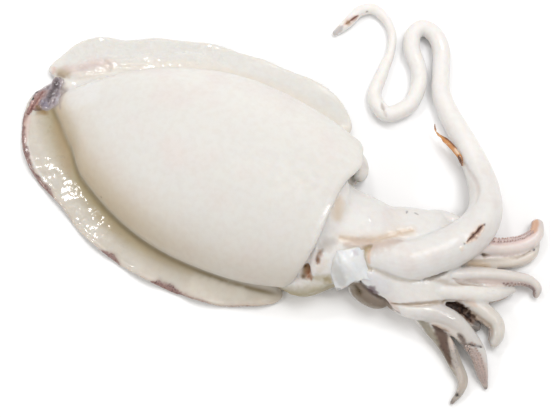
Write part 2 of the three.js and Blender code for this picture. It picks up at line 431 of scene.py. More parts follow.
def addMantle(bm):
    m = mantle
    verts = bmesh.ops.create_uvsphere(bm, u_segments=m["sides"], v_segments=m["rings"], radius=1)["verts"]
    ball = vertPoints(verts)
    even = np.arccos(np.clip(ball[:, 2], -1, 1)) / math.pi
    outside = np.linspace(0, 1, 40)
    backed = lerp(1 - np.cos(math.pi / 2 * outside), outside, m["ringEvenness"])
    profile = [(turn * 0.7, 1, lerp(m["tipX"], m["rimX"] - m["lip"], at)) for turn, at in zip(outside, backed)]
    profile[0] = (0, 0, m["tipX"])
    profile += [(turn, share, m["rimX"] - behind) for turn, share, behind in m["lipSection"]]
    at, share, along = np.array(profile).T
    angle = np.arctan2(ball[:, 0], ball[:, 1])
    placeVerts(verts, onMantle(np.interp(even, at, share), angle, np.interp(even, at, along)))


fins = {
    "outline": [
        (-99.5, 3), (-100, -5), (-98, -16), (-92, -28), (-83, -37.5), (-73, -44), (-56, -51), (-39, -60),
        (-10, -67.5), (18, -69), (45, -66), (59, -60.5), (70, -55), (77, -47),
        (64, -30), (54, 0), (60, 34),
        (73, 56), (67, 65), (58, 71.5), (45, 74.5), (26, 75), (-20, 71), (-52, 60.5), (-68, 52.5), (-80, 48.5),
        (-91, 40), (-96, 28), (-98.5, 18), (-92.5, 14.5), (-96, 8.5),
    ],
    "rootShare": 0.62,
    "rootLift": 8,
    "edgeLift": 2.6,
    "rootThickness": 6,
    "edgeThickness": 2.3,
    "waves": (17, 1.1),  # count and height in mm
    "around": 620,
    "across": 44,
}


def finEdge(shares):
    # the closed outline, read evenly by its length
    outline = np.array(fins["outline"] * 3, float)
    count = len(fins["outline"])
    at = np.linspace(count, 2 * count, 4001) / (3 * count - 1)
    dense = smoothLine(outline, at)
    lengths = np.concatenate([[0], np.cumsum(np.linalg.norm(np.diff(dense, axis=0), axis=1))])
    want = np.mod(shares, 1) * lengths[-1]
    return np.stack([np.interp(want, lengths, dense[:, k]) for k in range(2)], axis=1)


def addFins(bm):
    f = fins
    made = bmesh.ops.create_grid(bm, x_segments=f["around"], y_segments=f["across"], size=0.5)
    verts = made["verts"]
    flat = vertPoints(verts)
    around, turn = flat[:, 0] + 0.5, (flat[:, 1] + 0.5) * 2 * math.pi
    outward = 0.5 - 0.5 * np.cos(turn)
    side = np.sign(np.sin(turn)) * np.abs(np.sin(turn)) ** 0.4
    edge = finEdge(around) * lerp(f["rootShare"], 1, outward)[:, None]
    count, height = f["waves"]
    wave = height * np.sin(2 * math.pi * count * around) * outward ** 3
    lift = lerp(f["rootLift"], f["edgeLift"], easeStep(outward, 0.3, 1)) + wave
    z = lift + side * lerp(f["rootThickness"], f["edgeThickness"], outward) / 2
    placeVerts(verts, np.column_stack([edge, z]))
    bmesh.ops.remove_doubles(bm, verts=verts, dist=1e-4)


def pressOnTable(bm, left=0.05):
    # the table presses flat what would lie lower than it, down to a small share that is left
    for vert in bm.verts:
        vert.co.z = max(vert.co.z, left * vert.co.z)


finLobes = [
    {  # soft fold at the rim's far corner
        "path": [(76, 42, 5), (83, 40, 6), (87.5, 35, 6.5), (87.5, 29, 7)],
        "girth": [(6, 4), (5.5, 5), (4.6, 4.6), (3, 3)],
    },
    {  # the two halves of the fin skirt grow together at the tip
        "path": [(-93, 12.5, 3.6), (-86, 13.5, 5), (-76, 15, 7)],
        "girth": [(3, 2), (4, 3), (5, 4)],
    },
]


def buildMantleAndFins():
    bm = bmesh.new()
    addMantle(bm)
    addFins(bm)
    for lobe in finLobes:
        addLimb(bm, lobe["path"], lobe["girth"])
    pressOnTable(bm)
    piece = newPiece(bm, "mantleAndFins")
    growTogether(piece, voxelSize=0.78, rounds=5)
    return piece


body = buildMantleAndFins()
print("mantle and fins", len(body.data.polygons))


def domeGap(points):
    # mm outward from the dome's side as seen from above, under 0 on the dome
    length = np.linspace(0, 1, 90)
    x = mantle["tipX"] + mantle["length"] * length
    x[-1] += 60  # the sides run on past the open rim
    near = -mantleWidth(length)
    far = mantleWidth(length) + lerp(*mantle["farFullness"], length) * tipFullness(length)
    outline = np.array([(a, b, 0) for a, b in zip(x[::-1], far[::-1])] + [(a, b, 0) for a, b in zip(x, near)])
    inside = points[:, 0] > mantle["tipX"]
    inside &= points[:, 1] > np.interp(points[:, 0], x, near)
    inside &= points[:, 1] < np.interp(points[:, 0], x, far)
    return lineNearest(points * (1, 1, 0), outline)[0] * np.where(inside, -1, 1)


def finEdgeGap(points):
    line = np.column_stack([finEdge(np.linspace(0, 1, 260)), np.zeros(260)])
    return lineNearest(points * (1, 1, 0), line)[0]


finRelief = {
    "ridgeGap": 2.8,  # mm between the fine ridges that run out to the fin's edge
    "ridgeHeight": 0.22,
    "rippleSize": 11,
    "rippleHeight": 0.5,
    "beadInset": 1.3,
    "beadWidth": 0.9,
    "beadHeight": 0.5,
    "domeDents": 0.35,
    "dentSize": 34,
    "radius": 62,  # of the skirt, to measure along its edge
    "tuck": 3.6,
    "tuckTowards": (-42, 4, 0),
}
bodyCarving = [
    # folds and lumps by the far crease, near the tip
    stroke([(-70.2, 34.9, 9.2), (-66.8, 32.1, 10.2), (-64.1, 29.3, 10.4)], 3, push=-0.5),
    stroke([(-82, 27, 7.8), (-74.6, 31.1, 8.8), (-66, 36, 8.8)], 5, push=1),
    stroke([(-86, 18, 6), (-80, 21.5, 8.5), (-73, 25.5, 9.8)], 3, push=1),
    stroke([(-66, 27.5, 11), (-58, 32, 10.5), (-50, 37, 10)], 3, push=0.9),
    stroke([(-60, 40, 8), (-50, 45, 8), (-38, 50, 8)], 4, push=0.7),
    stroke([(-36, 55, 7), (-22, 60, 6.6), (-8, 61, 6.4)], 4, push=0.6),
    stroke([(-84, 22, 7), (-78, 26.4, 8.4), (-71, 31, 9)], 2, push=-0.7),
    stroke([(-80, 19, 8.6), (-72, 24, 10.4), (-64, 28.4, 11.4)], 1.6, push=0.7),
    stroke([(-62, 35, 9.6), (-54, 39, 9.4), (-46, 43, 9)], 2.2, push=0.8),
    stroke([(-58, 33, 10.6), (-51, 36.4, 10.4), (-44, 39.6, 10)], 1.6, push=-0.6),
    stroke([(-74, 34, 8), (-66, 38.4, 8.4), (-56, 43, 8)], 2, push=-0.5),
    # hem of the rim
    stroke([(82.4, 2, 38.6), (82.4, -10, 38.1), (82.6, -15.5, 36.9), (81.5, -24, 34)], 3, push=0.6),
]
# dark skin left on the fins' edge: from and to in degrees round the mantle's middle, width in mm, strength
edgeSkin = [
    (-176, -160, 3.2, 0.85),
    (-170, -152, 4, 0.85),
    (-158, -141, 3.8, 0.85),
    (-148, -128, 1.4, 0.5),
    (-112, -99, 4, 0.85),
    (-84, -67, 4.6, 0.85),
    (-74, -56, 3.6, 0.5),
    (-61, -36, 1.4, 0.5),
]


def detailBody():
    r = finRelief
    points, normals = pointsOf(body), normalsOf(body)
    gap, edgeGap = domeGap(points), finEdgeGap(points)
    onFin = easeStep(gap, 2.5, 6)
    near = easeStep(-points[:, 1], -10, 15)
    onTop = easeStep(normals[:, 2], -0.2, 0.4)
    arc = np.arctan2(points[:, 1], points[:, 0] * 0.62) * r["radius"]
    ridges = grain(np.column_stack([arc, gap / 5, np.zeros(len(arc))]), r["ridgeGap"], 3)
    ripples = grain(points * (1, 1, 0), r["rippleSize"], 5)
    bead = np.exp(-((edgeGap - r["beadInset"]) / r["beadWidth"]) ** 2) * (0.5 + 0.5 * near)
    push = onFin * onTop * (ridges * r["ridgeHeight"] + ripples * r["rippleHeight"] * easeStep(edgeGap, 0, 5))
    push += onFin * onTop * bead * r["beadHeight"] * (1 + 0.8 * ripples)
    push += r["domeDents"] * easeStep(-gap, 0, 20) * onTop * grain(points, r["dentSize"], 8, 1)
    setPoints(body, points + normals * push[:, None])
    carve(body, bodyCarving)
    setPoints(body, pointsOf(body) + tuckNearSide(points, gap))
    return points, gap, edgeGap


def tuckNearSide(points, gap):
    # near the tip the near fin reaches further in under the dome
    share = easeStep(-points[:, 0], 50, 68) * easeStep(-points[:, 1], -4, 8)
    share *= 0.7 + 0.3 * easeStep(-points[:, 1], 4, 12)
    share *= (1 - easeStep(-gap, 1, 16)) * (1 - easeStep(gap, 3, 10))
    inward = np.array(finRelief["tuckTowards"]) - points * (1, 1, 0)
    inward /= np.linalg.norm(inward, axis=1)[:, None]
    return inward * (finRelief["tuck"] * share)[:, None]


def edgeSkinShare(points, gap, edgeGap):
    turn = np.degrees(np.arctan2(points[:, 1], points[:, 0]))
    uneven = grain(points, 6, 31) + 0.4 * grain(points, 2.2, 32)
    share = np.zeros(len(points))
    for start, end, width, strength in edgeSkin:
        along = np.sin(math.pi * np.clip((turn - start) / (end - start), 0, 1)) ** 0.8
        reach = width * along * (0.85 + 0.45 * uneven) + 0.05
        inner = 1 - easeStep(edgeGap, reach * 0.3, reach * 1.3)
        share = np.maximum(share, strength * easeStep(along, 0, 0.3) * inner)
    return share * easeStep(gap, 2, 5)


def paintBody(points, gap, edgeGap):
    normals = normalsOf(body)
    near = easeStep(-points[:, 1], -15, 5)
    nearFin = easeStep(-points[:, 1], -10, 15)
    outside = easeStep(gap, -1.5, 2)
    low = 1 - easeStep(points[:, 2], 9, 14)
    patches = grain(points, 22, 2)
    onTop = easeStep(normals[:, 2], -0.4, 0.2)

    toRim = easeStep(points[:, 0], -35, 50)
    toTip = easeStep(-points[:, 0], -10, 30)
    farSide = easeStep(points[:, 1], 10, 45)
    shade = outside * near * (1 - easeStep(gap, 2, 12.5)) * (1 - 0.8 * toRim)
    creaseShade = near * low * onTop * (1 - easeStep(points[:, 0], 66, 80)) * np.exp(-((gap - 0.8) / 1.5) ** 2)
    skin = edgeSkinShare(points, gap, edgeGap) * onTop
    curlHighlight = np.exp(-((edgeGap - 3.6) / 0.7) ** 2) * nearFin * easeStep(-points[:, 0], 68, 76)
    tone = tintAll(plainTone(body, "#EBEAE7"), (
        # painted light: the far side, which faces the key lamp, a little lighter
        ("#F3F2EF", farSide),
        ("#EDE4E2", easeStep(patches, -0.1, 0.6) * 0.45),
        # painted shade on the dome's near side, which faces away from the lamps, darkest at its foot
        ("#E0D8CC", (1 - easeStep(-gap, 4, 28)) * near * (1 - 0.6 * toRim)),
        ("#CDBDA2", (1 - easeStep(-gap, 0, 14)) * near * (0.85 - 0.65 * toRim)),
        # fins, the near one greyer for its thin flesh and as painted shade; painted shade beside the dome, warm
        # by the far crease, and a painted dark line in the near crease; their edge
        ("#ECEBE8", outside),
        ("#DFD9CF", outside * nearFin),
        ("#EEE6DA", outside * (1 - nearFin) * (1 - easeStep(gap, 2, 9)) * 0.55),
        ("#AFA17F", shade * 0.95),
        ("#85744E", creaseShade * lerp(0.7, 0.85, easeStep(points[:, 0], -70, -45))),
        ("#CFC6BE", outside * (1 - easeStep(edgeGap, 0, 3)) * lerp(0.1, 0.6, nearFin)),
        ("#A68F8A", spread(body, skin, 4) * 1.1),
        # painted highlight along the curled edge of the near fin by the tip
        ("#F6F2EE", curlHighlight * 0.8),
    ))
    wet = 0.15 + outside * lerp(0.35, 0.3 + 0.45 * toTip, nearFin) + outside * farSide * 0.4 * toTip
    wet = lerp(wet, 0.1, near * np.exp(-((gap - 1.5) / 2.5) ** 2))
    paint(body, tone, wet, bodyPaint, points, skin)


bodyPaint = [
    # wet part of the near fin
    stroke([(-67.3, -30.7, 6), (-61.8, -36.5, 6), (-53.9, -42.4, 6), (-45, -53, 5), (-34.5, -57, 4.5)], 7,
           core=3, wet=1, taper=0.2),
    # salmon flesh and a thin maroon line inside the edge, below the tip
    stroke([(-96.4, -7.6, 5), (-95.6, -13.1, 3.9), (-94, -19.4, 3.2), (-90.4, -25.6, 3.4)], 3.4, "#D9B0A6",
           0.5),
    stroke([(-96, -7.6, 5.7), (-96.9, -13.1, 3.9), (-96.8, -17.8, 2.9)], 1.3, "#9A6660", 0.7),
    # far lobe by the tip
    stroke([(-91.2, 18.9, 5.7), (-86.2, 19.4, 6.7)], 6, "#B7A283", uneven=0.15, taper=0.2),
    stroke([(-92, 17, 5), (-87, 17, 7)], 3, "#9C8670", 0.6),
    stroke([(-96, 21, 4), (-94, 17, 4)], 2.4, "#D9B9AE", 0.7),
    stroke([(-90.3, 22.4, 5.3), (-81.4, 24.2, 7.6), (-74.6, 30.1, 8.8), (-62, 36, 9)], 7, "#E3D0CB", 0.65),
    stroke([(-70.2, 34.9, 9.2), (-66.8, 32.1, 10.2), (-64.1, 29.3, 10.4)], 2.6, "#D6C6BB", 0.6),
    stroke([(-92, 4, 4), (-88, 3, 6), (-84, 1, 9)], 13, "#B5A6A5", 0.6, core=4),
    stroke([(-88, 14.5, 6), (-85, 8, 8), (-80.5, -2, 12)], 4.5, "#A8999A", 0.6),
    stroke([(-92.6, -5.6, 6.2), (-89.4, -6.9, 6.4)], 4, "#9A7B48", 0.85, taper=0.3),
    # painted shade along the near crease by the tip
    stroke([(-85, -9, 9), (-80, -14, 10), (-74, -20, 10), (-66, -28, 10), (-57, -36, 10)], 5, "#B8A080", 0.5),
    # wet places on the dome: by the far crease, and along the rim, which also has a pale painted highlight
    stroke([(-78, 13, 10), (-70, 18, 14), (-60, 26, 16)], 7, wet=0.85, taper=0.2),
    stroke([(81, 6, 39), (82.5, -7.8, 38.9), (82.8, -12.2, 38), (82.6, -20, 35.5)], 4, "#F1F0EF", 0.7,
           wet=0.75),
    stroke([(77.9, 29.2, 35.8), (78.6, 27, 36.2)], 4, wet=0.75),
    # rim and far corner
    stroke([(87, 35, 7), (85, 40, 7)], 8, "#DCD2D0", 0.7),
    stroke([(80, -42, 14), (82, -34, 22), (82.5, -24, 31)], 7, "#DFD3D0", 0.6),
    stroke([(-34.8, -39.5, 16.7), (-34.2, -39.3, 16.9)], 1.3, "#7F7868", 0.9),
    # bright flesh by the tip, painted shade that deepens the near crease, paler fin at its rear
    stroke([(-80, 13.7, 9.6), (-71.1, 10.5, 17.2), (-62.1, 8.2, 23.1)], 15, "#F1F1F1", 0.6, core=5, uneven=0.1),
    stroke([(-32.6, -49.1, 8.6), (-23.1, -51.2, 9.4), (-10.6, -53.4, 9.2), (2, -54.8, 9.5), (14.4, -55.7, 8.9),
           (26.1, -55.7, 8.8)], 5, "#B29D76", 0.35, uneven=0.1, taper=0.25),
    stroke([(30.8, -59.6, 6.4), (43.3, -58, 5.6), (55, -54.7, 5.5)], 7, "#ECE6DA", 0.55, core=2, taper=0.2),
]
paintBody(*detailBody())


# ---- head, arms and tentacle ----

headParts = {
    "head": {
        "path": [(58, -4, 15), (84, -6, 16), (100, -4, 16), (114, -3.5, 15), (128, -1, 14), (142, 0.5, 12),
                 (156, 4, 9)],
        "girth": [(30, 14), (30, 15), (26, 14.5), (25.2, 13), (28, 12.5), (31, 11), (22, 7)],
        "sides": 60,
    },
    "collar": {
        "path": [(62, -32, 9), (76, -37, 9.5), (86, -36.5, 10), (94, -27, 12), (102, -20, 13)],
        "girth": [(6, 6), (7, 8), (6.5, 8), (8, 9), (8, 8)],
    },
    "funnel": {
        "path": [(90, -4, 21), (97, -13, 23), (102, -22, 20), (104, -29, 13)],
        "girth": [(9, 4), (9, 5), (7.5, 5.4), (4, 4.4)],
    },
    "eye": {
        "path": [(106, -21, 10), (118, -24, 9.5), (132, -25, 9.4)],
        "girth": [(7, 7), (9, 8.8), (7.6, 7.6)],
    },
    "farSwelling": {
        "path": [(128, 20, 12), (138, 27, 11), (145, 29, 10), (150, 29.6, 11)],
        "girth": [(7, 6), (5.4, 5), (4.2, 4.6), (3.4, 4)],
    },
    "neckSkin": {  # soft skin that joins the head to the mantle's rim
        "path": [(80, -23, 24), (81.6, -14, 28.4), (82.4, -4, 31), (82.4, 6, 31), (81.4, 16, 29), (79, 23, 26)],
        "girth": [(4, 4), (7, 4), (8, 4.2), (8, 4.2), (7, 4), (4, 4)],
    },
}
tentacle = {
    "path": [
        (107, -10, 19), (119, -7, 20), (132, -4, 20), (145, 8, 19), (155, 22, 17), (159, 36, 15), (155, 50, 12),
        (142, 67, 8), (130, 78, 6.5), (118, 88, 5.6), (110, 97, 5.2), (105, 109, 5), (100, 121, 5),
        (93, 128, 5),
        (85, 129, 4.8), (82, 123, 4.8), (85, 114, 4.8), (93, 105, 4.7), (97, 95, 4.7), (96, 82, 4.6),
        (87, 73, 4.6),
        (77, 79, 4.2), (75, 95, 3.6), (74, 110, 3), (70, 120, 3), (62, 127, 3), (54, 128.5, 3.2),
        (48, 124, 3.2),
        (45, 116, 3), (40, 105, 2),
    ],
    "girth": [
        (9, 9), (11.5, 12), (12, 13.5), (11.5, 14), (11, 13), (10, 11.5), (8.6, 9.6),
        (7.2, 7.8), (6.3, 6.5), (5.8, 5.8), (5.3, 5.4), (5, 5.1), (5, 5.1), (4.8, 5.1),
        (4.7, 4.9), (4.7, 4.9), (4.8, 4.9), (4.6, 4.8), (4.5, 4.8), (4.6, 4.7), (4.6, 4.7),
        (4.1, 4.3), (3.5, 3.7), (2.5, 3), (2.4, 3), (2.8, 3), (3.1, 3.2), (3.2, 3.2),
        (3.1, 3), (1.5, 1.8),
    ],
}
# oral is where the suckers sit on an arm's section, in degrees from the top, at its root and at its tip
arms = {
    "A": {
        "path": [(138, 8, 13), (152, 14, 12), (164, 22, 10), (176, 28, 8), (185, 35, 6.5), (189, 43, 5.5),
                 (186.5, 51, 4.5)],
        "girth": [(7, 7), (5.6, 6), (5, 5.4), (4.8, 5), (4.6, 4.6), (4.3, 4.4), (3.2, 3.4)],
        "oral": (-48, -44),
    },
    "B": {
        "path": [(136, 4, 8), (151, 9, 7), (163, 13, 6), (176, 19, 5), (186, 25, 4.2), (191.5, 32, 3.6),
                 (191, 41, 3)],
        "girth": [(6, 6), (4.6, 5), (3.8, 4.2), (3.4, 3.8), (3.2, 3.4), (2.9, 3), (2, 2.2)],
        "oral": (-90, -90),
    },
    "C": {
        "path": [(138, -7, 13), (153, -1, 12), (170, 8, 9.5), (185, 14, 7), (196, 17, 5), (201.5, 15, 4),
                 (202, 10, 3)],
        "girth": [(6.5, 7), (5, 5.4), (4, 4.4), (3.7, 4), (3, 3.2), (2.4, 2.5), (1.4, 1.5)],
        "oral": (95, 75),
    },
    "D": {
        "path": [(122, -19, 14), (133, -18, 14.5), (145, -14, 14), (158, -8, 12), (174, -2, 9), (183, 3, 7),
                 (191, 9.5, 5)],
        "girth": [(7, 8), (6.5, 8), (6.2, 7), (6.2, 6), (5.2, 5), (3.6, 3.8), (1.2, 1.5)],
        "oral": (150, 130),
    },
    "E": {
        "path": [(146, -9, 8), (160, -9, 8), (172, -8.5, 7), (181, -10, 6.4), (188, -12.5, 5.6),
                 (191, -18, 5), (190.5, -25, 4)],
        "girth": [(6, 6), (5, 5.6), (5, 5), (5.2, 4.8), (4.4, 4.3), (3.8, 3.8), (2.4, 2.8)],
        "oral": (100, 95),
    },
    "F": {
        "path": [(126, -22, 10), (141, -25, 12), (153, -23, 12), (165, -22.5, 11), (175.6, -26, 9),
                 (185, -31.6, 6),
                 (191.2, -39.6, 3.8), (197, -47, 1.8)],
        "girth": [(6, 7), (6, 6.8), (6.4, 6.4), (6, 5.8), (5.2, 5), (4.6, 4.2), (3.4, 3), (0.9, 1.1)],
        "oral": (120, 20),
    },
    "G": {
        "path": [(128, -20, 6), (143, -22, 6), (158, -28.5, 6), (168, -34, 5.6), (176.5, -41.5, 4.6),
                 (183.5, -48, 3.6),
                 (184.5, -54, 2.8), (182.5, -62, 1.8)],
        "girth": [(5.5, 6), (5.5, 6), (5, 5.6), (4.6, 5), (3.6, 4), (2.9, 3.2), (2.1, 2.4), (1, 1.1)],
        "oral": (-80, 60),
    },
    "H": {
        "path": [(150, -14, 5), (165, -16, 4.6), (174, -18, 4), (181.5, -18.5, 3.2)],
        "girth": [(4.6, 4.8), (4, 4.4), (3.4, 3.8), (2, 2.4)],
        "oral": (120, 120),
    },
}


def armSection(arm):
    # rounder on the outside, flatter where the suckers sit
    start, end = (math.radians(value) for value in arm["oral"])

    def section(along, angle):
        facing = np.cos(angle - lerp(start, end, along))
        return 1 - 0.16 * np.clip(facing, 0, 1) ** 2 * easeStep(along, 0.1, 0.3)

    return section


oralRidge = {"start": 0.3, "end": 0.97, "size": 0.42, "out": 0.72}  # the raised strip that the suckers stand on
webs = [  # thin flesh that closes the gaps beside arms B and C
    {"path": [(158, 0, 11), (166, 3.4, 9.6), (174, 5.6, 8), (182, 8.6, 6.6), (189, 11.6, 5.4)],
     "girth": [(2.5, 3), (2.6, 3), (2.4, 2.8), (2, 2.2), (1.2, 1.4)]},
    {"path": [(160, 14, 10), (170, 18.4, 8), (180, 23, 6.4), (187, 28.4, 5.4), (189.6, 34, 4.6)],
     "girth": [(2.2, 2.6), (2.2, 2.6), (2.1, 2.4), (2, 2.2), (1.6, 1.8)]},
]


def armPoints(arm, along, turn, out=1.0):
    # points on an arm, turned by some degrees from the face that carries the suckers
    middle, sideways, upward, wide, high = limbFrame(arm["path"], arm["girth"], along)
    angle = np.radians(lerp(*arm["oral"], along) + turn)[:, None]
    return middle + out * (sideways * wide * np.sin(angle) + upward * high * np.cos(angle))


def addOralRidge(bm, arm):
    r = oralRidge
    along = np.linspace(r["start"], r["end"], 12)
    girth = smoothLine(arm["girth"], along)[:, :2] * r["size"]
    addLimb(bm, armPoints(arm, along, 0, r["out"]), girth, 16, 1)


def buildHeadAndArms():
    bm = bmesh.new()
    for part in headParts.values():
        addLimb(bm, part["path"], part["girth"], part.get("sides", 32))
    addLimb(bm, tentacle["path"], tentacle["girth"], 32, 1.2)
    for arm in arms.values():
        addLimb(bm, arm["path"], arm["girth"], 28, 1, armSection(arm))
        addOralRidge(bm, arm)
    for web in webs:
        addLimb(bm, web["path"], web["girth"], 16, 1)
    pressOnTable(bm)
    piece = newPiece(bm, "headAndArms")
    growTogether(piece, voxelSize=0.55, rounds=4)
    return piece


crown = buildHeadAndArms()
soften(crown, stroke([(88, 20, 28), (90, 8, 30), (90.4, -2, 30.4), (89, -12, 30), (86.6, -20, 28)], 11, core=4,
                     uneven=0, taper=0.2), 120)
print("head and arms", len(crown.data.polygons))

